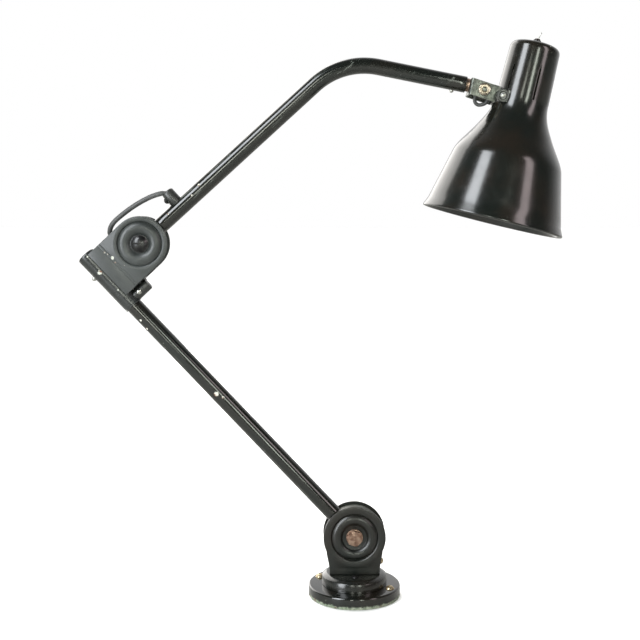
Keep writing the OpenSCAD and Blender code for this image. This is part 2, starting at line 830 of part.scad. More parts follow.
module head_bracket() {
    color("#6f736a") at_tip() difference() {
        intersection() {
            rotate([0, -90, 0]) translate([0, 0, -20]) linear_extrude(height = 40)
                difference() {
                    channel(web_z, bracket_w / 2, 3);
                    channel(web_z + bracket_t, flange_in, 1);
                }
            translate([0, bracket_w, 0]) rotate([0, -90, 0]) rotate([90, 0, 0])
                linear_extrude(height = 2 * bracket_w) bracket_outline();
        }
        cylinder(h = web_z + bracket_t + cut, r = journal_r + run_gap);
        translate([hinge_x, 0, hinge_z]) cross_rod(hinge_r + seat_gap, bracket_w);
    }
}

module head_pivot_bolt() {
    face = bracket_w / 2 + seat_gap;
    color("#b3935a") at_tip() translate([hinge_x, 0, hinge_z]) difference() {
        union() {
            translate([0, -face - 1, 0]) to_back() cylinder(h = 2 * face + 5, r = hinge_r);
            to_front() translate([0, 0, face]) cylinder(h = hinge_head_h - 0.8, r = hinge_head_r);
            to_front() translate([0, 0, face + hinge_head_h - 0.8])
                cylinder(h = 0.8, r1 = hinge_head_r, r2 = hinge_head_r - 0.8);
        }
        cross_rod(hinge_bore_r, 2 * bracket_w);
        to_front() translate([0, 0, face + hinge_head_h - 1.4]) ring(5.2, 3.4, 3);
    }
}

module head_pivot_nut() {
    color("#9c8450") at_tip() translate([hinge_x, 0, hinge_z]) to_back()
        translate([0, 0, bracket_w / 2 + seat_gap]) difference() {
            hexagon(13, 3.6);
            translate([0, 0, -cut]) cylinder(h = 3.6 + 2 * cut, r = hinge_r + 0.02);
        }
}

module head_cable() {
    color("#4a4c48") translate([tilt_x, 0, tilt_z])
        cable(smooth(head_route, 4), head_flex_r, 8, [0, 1, 0]);
}

// ---- shade ------------------------------------------------------------------------

// The shade's outer line from the rim to the crown, grown outwards by extra
function shade_line(extra) =
    let (
        rim_r = shade_d / 2 - bead_r,
        shoulder_up = shade_h - 110,
        flare_up = shade_h - 69,
        start = [rim_r, bead_r],
        waist = [rim_r - 16.6, shade_h / 3],
        shoulder = [(rim_r + neck_r) / 2 - 10.4, shoulder_up],
        neck = [neck_r + 0.3, flare_up],
        turn = [neck_r - 1.3, shade_h - 11],
        crown = [neck_r - 9, shade_h - 2.6],
        bell = bezier(waist, waist + [-2.4, 10.2], shoulder + [8, -13.9], shoulder, 8),
        flare = bezier(shoulder, shoulder + [-9.3, 16.1], neck + [0.2, -16], neck, 8),
        top = bezier(turn, turn + [-0.1, 5.5], crown + [4.6, -0.7], crown, 5)
    )
    [for (p = concat([start, waist], bell, flare, [turn], top)) p + [extra, 0]];

module shade_solid(extra) {
    line = shade_line(extra);
    rotate_extrude()
        polygon(concat(line, [[0, shade_h + extra], [0, bead_r]]));
}

module shade_shell() {
    outer = shade_line(0);
    inner = shade_line(-shade_t);
    count = len(inner);
    color("#1a1d1a") at_shade() difference() {
        rotate_extrude() {
            polygon(concat(
                outer, [[0, shade_h], [0, shade_h - shade_t]],
                [for (i = [count - 1 : -1 : 0]) inner[i] - [0, i > count - 6 ? shade_t : 0]]
            ));
            translate([shade_d / 2 - bead_r, bead_r]) circle(r = bead_r);
        }
        for (i = [0 : slot_count - 1])
            rotate([0, 0, first_slot - 90 + 360 * i / slot_count])
                translate([neck_r - 6, -slot_w / 2, shade_h - slot_drop])
                    cube([12, slot_w, slot_l]);
        translate([0, 0, shade_h - 4]) cylinder(h = 8, r = switch_bush_r + 0.1);
        translate([0, 0, hinge_up - ear_drop]) rotate([0, -90, 0])
            cylinder(h = neck_r + 5, r = grommet_r + seat_gap);
    }
}

module shade_yoke() {
    color("#161817") at_shade() difference() {
        union() {
            for (side = [-1, 1]) {
                translate([-hinge_side, side * (tongue_half - tongue_t / 2), hinge_up]) {
                    cross_rod(tongue_r, tongue_t / 2);
                    translate([0, -tongue_t / 2, -tongue_r])
                        cube([hinge_side - neck_r + 6, tongue_t, 2 * tongue_r]);
                }
                translate([ear_x, side * (bracket_w / 2 + 0.4), hinge_up - ear_drop])
                    rotate([-90 * side, 0, 0])
                        cylinder(h = ear_out - bracket_w / 2 - 0.4, r = ear_r);
            }
            intersection() {
                translate([0, 0, hinge_up - ear_drop - band_h / 2 + 2])
                    cylinder(h = band_h, r = neck_r + 0.4 + band_t);
                translate([-2 * neck_r, -24, 0]) cube([2 * neck_r - 18, 48, shade_h]);
            }
        }
        shade_solid(0.06);
        translate([-hinge_side, 0, hinge_up]) cross_rod(hinge_r + run_gap, bracket_w);
        translate([0, 0, hinge_up - ear_drop]) rotate([0, -90, 0])
            cylinder(h = 2 * neck_r, r = grommet_r + seat_gap);
        translate([ear_x, 0, hinge_up - ear_drop]) {
            for (side = [-1, 1]) rotate([-90 * side, 0, 0]) {
                translate([0, 0, ear_out - 8]) cylinder(h = 10, r = 1.6);
                translate([0, 0, ear_out - 0.7]) ring(ear_r - 1.3, ear_r - 2.8, 3);
            }
        }
    }
}

module yoke_screws() {
    color("#8f8d86") at_shade() translate([ear_x, 0, hinge_up - ear_drop])
        for (side = [-1, 1]) rotate([-90 * side, 0, 0]) {
            translate([0, 0, ear_out + seat_gap]) round_head(3, 2, 0.9);
            translate([0, 0, ear_out - 7]) cylinder(h = 7.5, r = 1.6 - seat_gap);
        }
}

module cable_grommet() {
    color("#1a1a1a") at_shade()
        translate([-neck_r - band_t - 1.4, 0, hinge_up - ear_drop]) rotate([0, 90, 0])
            ring(grommet_r, head_flex_r + 0.3, band_t + 3.4);
}

module holder_plate() {
    z = shade_h - 29;
    color("#8b8b84") at_shade() translate([0, 0, z]) difference() {
        cylinder(h = 1.5, r = neck_r - shade_t - 1.4);
        translate([0, 0, -cut]) cylinder(h = 4, r = 5);
        for (a = [30 : 60 : 330])
            rotate([0, 0, a]) translate([20, 0, -cut]) cylinder(h = 4, r = 4);
    }
}

module lampholder() {
    top = shade_h - 29 - seat_gap;
    color("#2a2320") at_shade() difference() {
        union() {
            translate([0, 0, top - 44]) cylinder(h = 37, r = holder_r);
            translate([0, 0, top - 7.5]) cylinder(h = 7.5, r = 12);
        }
        translate([0, 0, top - 45]) cylinder(h = 31, r = bulb_cap_r + 0.8);
        translate([0, 0, top - 20]) cylinder(h = 21, r = 4);
    }
}

module bulb_cap() {
    top = shade_h - 45;
    color("#b9b6a8") at_shade() difference() {
        union() {
            translate([0, 0, top - 25]) cylinder(h = 22, r = bulb_cap_r);
            translate([0, 0, top - 3.5]) cylinder(h = 3.5, r1 = bulb_cap_r - 2, r2 = 4.5);
        }
        translate([0, 0, top - 26]) cylinder(h = 20, r = bulb_cap_r - 0.6);
    }
}

module bulb_glass() {
    mid = shade_h - 140;
    neck_z = shade_h - 70 - seat_gap;
    mouth = [bulb_cap_r - 0.2, neck_z];
    start = [bulb_r * cos(20), mid + bulb_r * sin(20)];
    side = bezier(
        start, start + [-4, 10.99], [15.5, neck_z - 28], [13.5, neck_z - 4], 7
    );
    dome = [for (a = [-90 : 10 : 20]) [bulb_r * cos(a), mid + bulb_r * sin(a)]];
    outer = concat(dome, side, [mouth]);
    shrink = 0.96;
    inner = [
        for (i = [len(outer) - 1 : -1 : 0])
            [outer[i][0] * shrink, i == len(outer) - 1 ? neck_z
                : mid + (outer[i][1] - mid) * (outer[i][1] < mid ? shrink : 1)]
    ];
    color("#f2ead2", 0.5) at_shade() rotate_extrude() polygon(concat(outer, inner));
}

module switch_body() {
    color("#1d1d1f") at_shade() difference() {
        union() {
            translate([-6.5, -9, shade_h - 17]) cube([13, 18, 13]);
            translate([0, 0, shade_h - 4.5]) cylinder(h = 9, r = switch_bush_r);
        }
        translate([0, 0, shade_h - 6]) cylinder(h = 12, r = 2.2);
        translate([0, 0, shade_h - lever_axis_drop]) cross_rod(0.55, 4);
    }
}

module switch_nut() {
    color("#17181a") at_shade() translate([0, 0, shade_h + 0.1]) difference() {
        cylinder(h = 3, r = 4.6);
        translate([0, 0, -cut]) cylinder(h = 6, r = switch_bush_r + seat_gap);
    }
}

module switch_lever() {
    color("#c2c0b8") at_shade() translate([0, 0, shade_h - lever_axis_drop]) {
        cross_rod(0.5, 2.6);
        rotate([0, lever_lean, 0]) {
            sphere(r = 1.85);
            cylinder(h = lever_l, r1 = 1, r2 = 0.9);
            translate([0, 0, lever_l]) sphere(r = 1.2);
            translate([0, 0, -4]) cylinder(h = 4, r = 0.9);
        }
    }
}

base_flange();
base_screws();
cord_gland();
turret();
turret_screws();
swivel_stud();
swivel_washer();
swivel_nut();
lower_cheek_front();
lower_cheek_back();
lower_pivot_bolt();
lower_pivot_washers();
lower_pivot_nut();
neck_side_screw();
lower_drum();
lower_tube();
lower_flex();
elbow_sleeve();
sleeve_screw();
elbow_saddle();
elbow_cover_front();
elbow_cover_back();
elbow_pivot_screw();
elbow_pivot_washer();
elbow_pivot_nut();
lower_cable_entry();
lower_entry_screw();
elbow_cable();
elbow_drum();
upper_tube();
upper_cable_entry();
upper_entry_screw();
upper_flex();
tip_screw();
head_nipple();
nipple_nut();
head_bracket();
head_pivot_bolt();
head_pivot_nut();
head_cable();
shade_yoke();
yoke_screws();
shade_shell();
cable_grommet();
holder_plate();
lampholder();
bulb_cap();
bulb_glass();
switch_body();
switch_nut();
switch_lever();
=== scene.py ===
"""An old jointed desk lamp in black enamel: its pieces, finishes, floor, light and camera."""
import json
import math

import bmesh
import bpy
from mathutils import Matrix, Vector

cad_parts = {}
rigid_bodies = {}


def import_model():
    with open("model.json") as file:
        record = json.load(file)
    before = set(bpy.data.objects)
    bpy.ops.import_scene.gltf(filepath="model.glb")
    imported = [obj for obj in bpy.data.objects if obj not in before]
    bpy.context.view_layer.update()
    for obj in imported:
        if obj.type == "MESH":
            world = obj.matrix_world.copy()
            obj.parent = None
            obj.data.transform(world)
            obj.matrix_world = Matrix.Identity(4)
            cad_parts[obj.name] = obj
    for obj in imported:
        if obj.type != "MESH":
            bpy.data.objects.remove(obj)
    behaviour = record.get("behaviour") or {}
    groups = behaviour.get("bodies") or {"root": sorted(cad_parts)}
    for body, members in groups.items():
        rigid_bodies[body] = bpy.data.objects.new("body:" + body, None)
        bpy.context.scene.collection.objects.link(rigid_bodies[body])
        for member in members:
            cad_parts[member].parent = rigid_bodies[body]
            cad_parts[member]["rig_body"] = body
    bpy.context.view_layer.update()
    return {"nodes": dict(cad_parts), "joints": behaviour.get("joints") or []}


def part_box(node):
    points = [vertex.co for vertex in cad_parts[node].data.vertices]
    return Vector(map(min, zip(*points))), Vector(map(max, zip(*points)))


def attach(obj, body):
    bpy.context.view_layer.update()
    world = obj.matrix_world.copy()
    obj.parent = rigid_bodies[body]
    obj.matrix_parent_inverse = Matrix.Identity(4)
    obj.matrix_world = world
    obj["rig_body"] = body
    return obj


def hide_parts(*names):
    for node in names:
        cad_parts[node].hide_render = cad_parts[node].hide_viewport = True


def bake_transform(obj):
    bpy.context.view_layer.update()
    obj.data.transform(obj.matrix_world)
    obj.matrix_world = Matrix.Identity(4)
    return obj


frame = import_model()

MM = 0.001
SIDES = 96                      # corners of a full circle
POLE = 0.004                    # radius of a ring that closes to a point, in millimetres
UPPER_LEAN = 47.5               # degrees, the upper arm's lean towards +X
SHADE_LEAN = 14.2               # degrees, the lean of the shade's axis
LEVER_HEIGHT = 215.4            # of the toggle's pivot above the shade's rim

joints = {joint["name"]: joint for joint in frame["joints"]}


# ---- places ------------------------------------------------------------------

def joint_point(name):
    return Vector(joints[name]["pos_m"])


def leaning(point, degrees):
    """A frame at a point, its +Z turned from upright towards +X."""
    return Matrix.Translation(point) @ Matrix.Rotation(math.radians(degrees), 4, "Y")


def lean_of(name):
    axis = joints[name]["axis"]
    return math.degrees(math.atan2(axis[0], axis[2]))


def shift(x, y, z):
    return Matrix.Translation((x * MM, y * MM, z * MM))


def turn(degrees, axis):
    return Matrix.Rotation(math.radians(degrees), 4, axis)


def mid_of(node):
    low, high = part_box(node)
    return (low + high) / 2


PIVOT = Matrix.Translation(joint_point("lower_tilt"))
LOWER = leaning(joint_point("lower_tilt"), lean_of("elbow_swivel"))
ELBOW = Matrix.Translation(joint_point("elbow_tilt")) @ turn(lean_of("elbow_swivel"), "Y")
UPPER = leaning(joint_point("elbow_tilt"), UPPER_LEAN)
TIP = leaning(joint_point("head_swivel"), lean_of("head_swivel"))
SHADE = leaning(joint_point("switch_toggle"), SHADE_LEAN) @ shift(0, 0, -LEVER_HEIGHT)
FRONT = turn(90, "X")           # turns +Z to the front
BACK = turn(-90, "X")
DOWN = turn(180, "X")
SIDE = turn(90, "Y")            # turns +Z to +X
OTHER_SIDE = turn(-90, "Y")
elbow_in_lower = LOWER.inverted() @ joint_point("elbow_tilt") / MM
hinge_in_tip = TIP.inverted() @ joint_point("head_tilt") / MM
hinge_in_shade = SHADE.inverted() @ joint_point("head_tilt") / MM

# Sizes shared by several pieces, in millimetres
TUBE_R = 9.5
TUBE_WALL = 1.5
GAP = TUBE_R + 0.5              # from the middle plane to a side plate's inner face
PLATE = 3
PLATE_OUT = GAP + PLATE
CUP_FLOOR = GAP + 1             # outer face of a side plate's sunk middle
SLEEVE_R = TUBE_R + 1.65
FOOT_TOP = SLEEVE_R + 11
DRUM_HALF = TUBE_R + 0.1
FLEX_R = 3
HEAD_FLEX_R = 2.15
NECK_R = 30.5
SHADE_H = 215
RIM_R = 80.6
BEAD_R = 1.6


# ---- modelling helpers -------------------------------------------------------

def fresh():
    bpy.ops.object.select_all(action="DESELECT")


def only(piece):
    """Selects one piece alone, and makes it the active one."""
    fresh()
    piece.select_set(True)
    bpy.context.view_layer.objects.active = piece


def edit(piece):
    """Opens a piece alone in edit mode."""
    only(piece)
    bpy.ops.object.mode_set(mode="EDIT")


def close():
    bpy.ops.object.mode_set(mode="OBJECT")


def clean(threshold=0.0005 * MM):
    """Merges doubles and turns every face of the open piece outwards."""
    bpy.ops.mesh.select_all(action="SELECT")
    bpy.ops.mesh.remove_doubles(threshold=threshold)
    bpy.ops.mesh.normals_make_consistent(inside=False)


def turned(name, rings, sides=SIDES):
    """A round piece about +Z, extruded ring by ring; each ring is (radius, height)."""
    fresh()
    radius, height = rings[0]
    bpy.ops.mesh.primitive_circle_add(
        vertices=sides, radius=max(radius, POLE) * MM, location=(0, 0, height * MM))
    piece = bpy.context.object
    piece.name = name
    bpy.ops.object.transform_apply()
    edit(piece)
    bpy.ops.mesh.select_all(action="SELECT")
    for (near_r, near_z), (far_r, far_z) in zip(rings, rings[1:]):
        grow = max(far_r, POLE) / max(near_r, POLE)
        bpy.ops.mesh.extrude_region_move(
            TRANSFORM_OT_translate={"value": (0, 0, (far_z - near_z) * MM)})
        bpy.ops.transform.resize(value=(grow, grow, 1), center_override=(0, 0, 0))
    clean(2 * POLE * MM)
    close()
    return piece


def drawn(name, outline, thickness):
    """A flat piece on z = 0, drawn point by point, closed, filled and extruded along +Z."""
    fresh()
    bpy.ops.mesh.primitive_plane_add(size=MM)
    piece = bpy.context.object
    piece.name = name
    edit(piece)
    bpy.ops.mesh.select_all(action="SELECT")
    bpy.ops.mesh.merge(type="CENTER")
    bpy.ops.transform.translate(value=(outline[0][0] * MM, outline[0][1] * MM, 0))
    for (near_x, near_y), (far_x, far_y) in zip(outline, outline[1:]):
        bpy.ops.mesh.extrude_region_move(
            TRANSFORM_OT_translate={"value": ((far_x - near_x) * MM, (far_y - near_y) * MM, 0)})
    mesh = bmesh.from_edit_mesh(piece.data)
    for point in mesh.verts:
        point.select_set(len(point.link_edges) == 1)
    bmesh.update_edit_mesh(piece.data)
    bpy.ops.mesh.edge_face_add()
    bpy.ops.mesh.select_all(action="SELECT")
    bpy.ops.mesh.edge_face_add()
    bpy.ops.mesh.extrude_region_move(TRANSFORM_OT_translate={"value": (0, 0, thickness * MM)})
    clean()
    close()
    return piece


def block(name, low, high):
    """A box between two corners."""
    fresh()
    size = [(b - a) * MM for a, b in zip(low, high)]
    middle = [(a + b) / 2 * MM for a, b in zip(low, high)]
    bpy.ops.mesh.primitive_cube_add(size=1, location=middle, scale=size)
    piece = bpy.context.object
    piece.name = name
    bpy.ops.object.transform_apply()
    return piece


def rod(name, radius, low, high, sides=SIDES):
    return turned(name, [(0, low), (radius, low), (radius, high), (0, high)], sides)


def set_at(piece, place):
    """Moves a piece to its place, and leaves its object at the origin."""
    only(piece)
    piece.matrix_world = place @ piece.matrix_world
    bpy.ops.object.transform_apply()
    return piece


def apply(piece, kind, **settings):
    """Adds one modifier and applies it."""
    only(piece)
    modifier = piece.modifiers.new(kind.title(), kind)
    for name, value in settings.items():
        setattr(modifier, name, value)
    bpy.ops.object.modifier_apply(modifier=modifier.name)
    return piece


def carve(piece, *tools, way="DIFFERENCE"):
    """Cuts a piece with others, or joins or trims it, and clears them away."""
    for tool in tools:
        apply(piece, "BOOLEAN", operation=way, solver="EXACT", object=tool)
        bpy.data.objects.remove(tool)
    return piece


def soften(piece, width, segments=3, angle=35):
    """Rounds a piece's sharp edges."""
    apply(piece, "BEVEL", width=width * MM, segments=segments, limit_method="ANGLE",
          angle_limit=math.radians(angle), harden_normals=False, use_clamp_overlap=True)
    return piece


def copied(piece, name, place):
    """A copy with its own mesh, moved by a matrix."""
    only(piece)
    bpy.ops.object.duplicate()
    twin = bpy.context.object
    twin.name = name
    return set_at(twin, place)


def fit(piece, node, material, smooth=32):
    """Gives a finished piece its shading and material; it stands for a CAD node."""
    only(piece)
    bpy.ops.object.shade_smooth_by_angle(angle=math.radians(smooth))
    piece.data.materials.clear()
    piece.data.materials.append(material)
    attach(piece, frame["nodes"][node]["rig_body"])
    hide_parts(node)
    return piece


def arc(centre_x, centre_y, radius, start, end, steps):
    """Points on a circle between two angles in degrees."""
    points = []
    for i in range(steps + 1):
        angle = math.radians(start + (end - start) * i / steps)
        points.append((centre_x + radius * math.cos(angle), centre_y + radius * math.sin(angle)))
    return points


def bezier(a, b, c, d, steps):
    """Points of a cubic curve, the first left out."""
    points = []
    for i in range(1, steps + 1):
        t = i / steps
        s = 1 - t
        points.append(tuple(
            s ** 3 * a[k] + 3 * s * s * t * b[k] + 3 * s * t * t * c[k] + t ** 3 * d[k]
            for k in range(2)))
    return points


# ---- shader helpers ----------------------------------------------------------

class Value:
    """A socket that takes part in Python expressions, each of which adds a Math node."""

    def __init__(self, finish, socket):
        self.finish = finish
        self.socket = socket

    def math(self, operation, *others):
        return self.finish.node(
            "ShaderNodeMath", {"operation": operation}, dict(enumerate(others)))

    def __add__(self, other):
        return self.math("ADD", self, other)

    __radd__ = __add__

    def __sub__(self, other):
        return self.math("SUBTRACT", self, other)

    def __rsub__(self, other):
        return self.math("SUBTRACT", other, self)

    def __mul__(self, other):
        return self.math("MULTIPLY", self, other)

    __rmul__ = __mul__

    def __truediv__(self, other):
        return self.math("DIVIDE", self, other)

    def most(self, other):
        return self.math("MAXIMUM", self, other)

    def least(self, other):
        return self.math("MINIMUM", self, other)

    def step(self, low, high):
        """0 below low and 1 above high, with a soft change between; low may be the larger."""
        settings = {"interpolation_type": "SMOOTHSTEP"}
        if low < high:
            return self.finish.node("ShaderNodeMapRange", settings,
                                    {"Value": self, "From Min": low, "From Max": high})
        return 1 - self.step(high, low)


class Finish:
    """A material that is built from nodes."""

    def __init__(self, name):
        self.material = bpy.data.materials.new(name)
        self.material.use_nodes = True
        self.tree = self.material.node_tree
        self.shader = self.tree.nodes["Principled BSDF"]
        self.place = self.node("ShaderNodeTexCoord", output="Object")

    def node(self, kind, settings=None, inputs=None, output=0):
        """Adds a node: its settings first, then its sockets' values or links."""
        made = self.tree.nodes.new(kind)
        for name, value in (settings or {}).items():
            setattr(made, name, value)
        for name, value in (inputs or {}).items():
            self.feed(made.inputs[name], value)
        return Value(self, made.outputs[output])

    def feed(self, socket, value):
        if isinstance(value, Value):
            self.tree.links.new(value.socket, socket)
        elif isinstance(value, tuple) and socket.type == "RGBA":
            socket.default_value = (*value, 1)
        else:
            socket.default_value = value

    def set(self, **sockets):
        """Sets or links the surface's sockets, such as base_color or coat_weight."""
        for name, value in sockets.items():
            label = name.replace("_", " ").title()
            label = {"Ior": "IOR", "Specular Ior Level": "Specular IOR Level"}.get(label, label)
            self.feed(self.shader.inputs[label], value)

    def mix(self, share, first, second):
        """Two colours, mixed."""
        return self.node("ShaderNodeMix", {"data_type": "RGBA"},
                         {0: share, 6: first, 7: second}, output=2)

    def turned_to(self, place):
        """Coordinates in a piece's own frame, in metres."""
        back = place.inverted()
        return self.node("ShaderNodeMapping", {"vector_type": "POINT"}, {
            "Vector": self.place, "Location": back.to_translation(),
            "Rotation": back.to_euler()})

    def noise(self, per_metre, detail=4, roughness=0.55, vector=None, stretch=None, distortion=0):
        """Smooth noise from 0 to 1 with so many cells in a metre."""
        vector = vector or self.place
        if stretch:
            vector = self.node("ShaderNodeMapping", {}, {"Vector": vector, "Scale": stretch})
        return self.node("ShaderNodeTexNoise", {}, {
            "Vector": vector, "Scale": per_metre, "Detail": detail,
            "Roughness": roughness, "Distortion": distortion})

    def away(self, vector, point):
        """Distance in millimetres from a point given in millimetres."""
        place = tuple(p * MM for p in point)
        gap = self.node("ShaderNodeVectorMath", {"operation": "DISTANCE"},
                        {0: vector, 1: place}, output="Value")
        return gap / MM

    def part(self, vector, axis):
        """One coordinate in millimetres."""
        split = self.node("ShaderNodeSeparateXYZ", {}, {0: vector}, output=axis)
        return split / MM

    def bump(self, height, depth_mm, strength=1.0):
        """A normal from a height between 0 and 1."""
        return self.node("ShaderNodeBump", {}, {
            "Height": height, "Distance": depth_mm * MM, "Strength": strength})

    def edges(self, radius_mm):
        """1 on sharp outer edges, 0 on open faces."""
        soft = self.node("ShaderNodeBevel", {"samples": 6}, {"Radius": radius_mm * MM})
        true = self.node("ShaderNodeNewGeometry", output="Normal")
        likeness = self.node("ShaderNodeVectorMath", {"operation": "DOT_PRODUCT"},
                             {0: soft, 1: true}, output="Value")
        return 1 - likeness


# ---- finishes ----------------------------------------------------------------

BLACK_GREEN = (0.0034, 0.0050, 0.0040)
BROWN_BLACK = (0.0085, 0.0066, 0.0044)
PRIMER = (0.42, 0.43, 0.38)
RUST = (0.105, 0.042, 0.018)


def enamel(name, light=BROWN_BLACK, dark=BLACK_GREEN, gloss=0.2, coat=0.25, chips=0.0,
           place=None, spots=(), dust=0.4, wear=0.3):
    """Old black enamel: smudged gloss, fine scratches, dust and chips down to the primer."""
    paint = Finish(name)
    vector = paint.turned_to(place) if place else paint.place
    cloud = paint.noise(22, 5, vector=vector)
    smudge = paint.noise(60, 6, 0.65, vector=vector, distortion=0.6)
    speck = paint.noise(900, 2, vector=vector)
    scratch = paint.noise(240, 3, 0.7, vector=vector, stretch=(1, 1, 0.06), distortion=0.4)
    scratches = scratch.step(0.67, 0.71) * paint.noise(40, 2, vector=vector).step(0.55, 0.66)
    ragged = paint.noise(420, 4, 0.7, vector=vector)
    flakes = ragged * 0.35 + paint.noise(70, 3, vector=vector) * 0.65
    chipped = flakes.step(0.715 - chips * 0.1, 0.725 - chips * 0.1)
    rubbed = (paint.edges(0.7) * 1.6 + ragged * 1.4 - 1.0).step(0.55, 0.85) * wear
    for point, radius in spots:
        gap = paint.away(vector, point) + (ragged - 0.5) * radius * 2.2
        chipped = chipped.most(gap.step(radius, radius * 0.82))
    bare = paint.mix(paint.noise(130, 3, vector=vector).step(0.5, 0.66), PRIMER, RUST)
    colour = paint.mix(cloud.step(0.35, 0.7), dark, light)
    colour = paint.mix(speck.step(0.62, 0.8) * dust * 0.2, colour, (0.10, 0.10, 0.08))
    colour = paint.mix(scratches * 0.3, colour, (0.14, 0.15, 0.13))
    colour = paint.mix(rubbed * 0.6, colour, (0.10, 0.105, 0.085))
    colour = paint.mix(chipped * 0.85, colour, bare)
    rough = gloss + smudge.step(0.45, 0.8) * 0.10 + scratches * 0.2 + chipped * 0.5
    height = paint.noise(150, 2, vector=vector) * 0.5 + speck * 0.02 * dust - chipped * 0.5
    paint.set(base_color=colour, roughness=rough.least(0.95), coat_weight=(1 - chipped) * coat,
              coat_roughness=0.12, specular_ior_level=0.5,
              normal=paint.bump(height - scratches * 0.06, 0.12, 0.6))
    return paint.material


def metal(name, light, dark, rough=0.32, tarnish=0.5, grain=0.3, spots=RUST, spotted=0.0):
    """Worn bare metal with tarnish in patches and fine scratches."""
    bare = Finish(name)
    patch = bare.noise(160, 5, 0.65)
    fine = bare.noise(2600, 3)
    lines = bare.noise(700, 3, 0.7, stretch=(1, 1, 0.12))
    marks = bare.noise(420, 4, 0.6).step(0.60, 0.68) * spotted
    worn = (bare.edges(0.5) * 3).step(0.2, 0.8)
    colour = bare.mix((patch.step(0.35, 0.65) * tarnish).least(1.0), light, dark)
    colour = bare.mix(worn * 0.5, colour, light)
    colour = bare.mix(marks, colour, spots)
    gloss = rough + patch.step(0.4, 0.7) * 0.18 + marks * 0.3 - worn * 0.08
    bare.set(base_color=colour, metallic=(1 - marks * 0.9) * 0.95, roughness=gloss,
             normal=bare.bump(lines * grain + fine * 0.15 - marks * 0.3, 0.05, 0.8))
    return bare.material


def rubber(name, colour=(0.030, 0.031, 0.030), rough=0.42):
    """A grey-black cable sheath with a faint skin."""
    sheath = Finish(name)
    cloud = sheath.noise(120, 4)
    skin = sheath.noise(1800, 2)
    dusty = tuple(c * 1.9 + 0.01 for c in colour)
    tint = sheath.mix(cloud.step(0.4, 0.75) * 0.5, colour, dusty)
    sheath.set(base_color=tint, roughness=rough + cloud * 0.15,
               normal=sheath.bump(skin, 0.03, 0.6))
    return sheath.material


def bakelite(name):
    """Moulded brown-black resin."""
    resin = Finish(name)
    swirl = resin.noise(45, 5, 0.6, distortion=1.2)
    tint = resin.mix(swirl.step(0.4, 0.65), (0.020, 0.011, 0.008), (0.045, 0.024, 0.016))
    resin.set(base_color=tint, roughness=0.22 + swirl * 0.15,
              normal=resin.bump(resin.noise(300, 2), 0.03, 0.5))
    return resin.material


def opal_glass(name):
    """A bulb's frosted glass."""
    glass = Finish(name)
    cloud = glass.noise(90, 3)
    tint = glass.mix(cloud * 0.4, (0.86, 0.84, 0.78), (0.74, 0.72, 0.66))
    glass.set(base_color=tint, roughness=0.28 + cloud * 0.1, transmission_weight=0.35, ior=1.45,
              normal=glass.bump(glass.noise(900, 2), 0.02, 0.4))
    return glass.material


black_enamel = enamel("black_enamel")
turret_enamel = enamel("turret_enamel", gloss=0.24)
cheek_enamel = enamel("cheek_enamel", gloss=0.33, coat=0.1, dust=0.6)
shade_enamel = enamel(
    "shade_enamel", gloss=0.19, coat=0.3, dust=0.4, wear=0.45, place=SHADE,
    spots=[((-5, -31, 126), 0.7), ((24, -58, 40), 0.8), ((13, -56, 71), 0.5),
           ((9, -22, SHADE_H - 1), 1.6), ((13, -25, SHADE_H - 5), 1.2), ((15, -26, 203), 0.9)])
grey_enamel = enamel(
    "grey_enamel", light=(0.031, 0.035, 0.034), dark=(0.014, 0.017, 0.016), gloss=0.40,
    coat=0.05, chips=0.1, dust=0.7, wear=0.8, place=LOWER,
    spots=[((20, -13, 437), 1.5), ((21, -13, 433), 0.9), ((22, -13, 426), 1.9),
           ((21, -13, 420), 1.1), ((26, -13, 410), 0.5)])
brass = metal("worn_brass", (0.60, 0.50, 0.33), (0.24, 0.18, 0.11), 0.32, 0.8, spotted=0.4)
bronze = metal("worn_bronze", (0.44, 0.38, 0.30), (0.14, 0.12, 0.09), 0.30, 0.9, spotted=0.4)
copper = metal("dull_copper", (0.42, 0.30, 0.23), (0.13, 0.085, 0.06), 0.36, 0.9)
rusty_steel = metal("rusty_steel", (0.36, 0.25, 0.19), (0.12, 0.062, 0.042), 0.42, 0.8, 0.6,
                    spotted=0.6)
bracket_steel = metal("bracket_steel", (0.16, 0.17, 0.15), (0.055, 0.06, 0.052), 0.36, 0.7,
                      0.5, spotted=0.2)
bare_steel = metal("bare_steel", (0.27, 0.285, 0.255), (0.085, 0.092, 0.080), 0.33, 0.9,
                   spotted=0.3)
bright_steel = metal("bright_steel", (0.55, 0.55, 0.52), (0.26, 0.26, 0.24), 0.26, 0.6,
                     spotted=0.2)
black_steel = metal("black_steel", (0.055, 0.055, 0.055), (0.018, 0.018, 0.019), 0.28, 0.8)
cap_metal = metal("cap_metal", (0.62, 0.60, 0.52), (0.36, 0.34, 0.28), 0.3, 0.5)
cable_sheath = rubber("cable_sheath")
black_rubber = rubber("black_rubber", (0.014, 0.014, 0.014), 0.5)
brown_bakelite = bakelite("brown_bakelite")
frosted_glass = opal_glass("frosted_glass")


# ---- camera and cables -------------------------------------------------------

CAMERA_PLACE = (-0.044, -1.18, 0.435)
CAMERA_YAW = -0.2               # degrees
LENS = 57                       # millimetres, on a sensor 36 mm wide
DROP = -0.157                   # the level camera's shift, as a share of the frame


def make_camera():
    camera = bpy.data.cameras.new("camera")
    camera.lens = LENS
    camera.sensor_width = 36
    camera.shift_y = DROP
    camera.clip_start = 0.05
    camera.clip_end = 50
    seat = bpy.data.objects.new("camera", camera)
    bpy.context.scene.collection.objects.link(seat)
    seat.location = CAMERA_PLACE
    seat.rotation_euler = (math.radians(90), 0, math.radians(CAMERA_YAW))
    bpy.context.scene.camera = seat


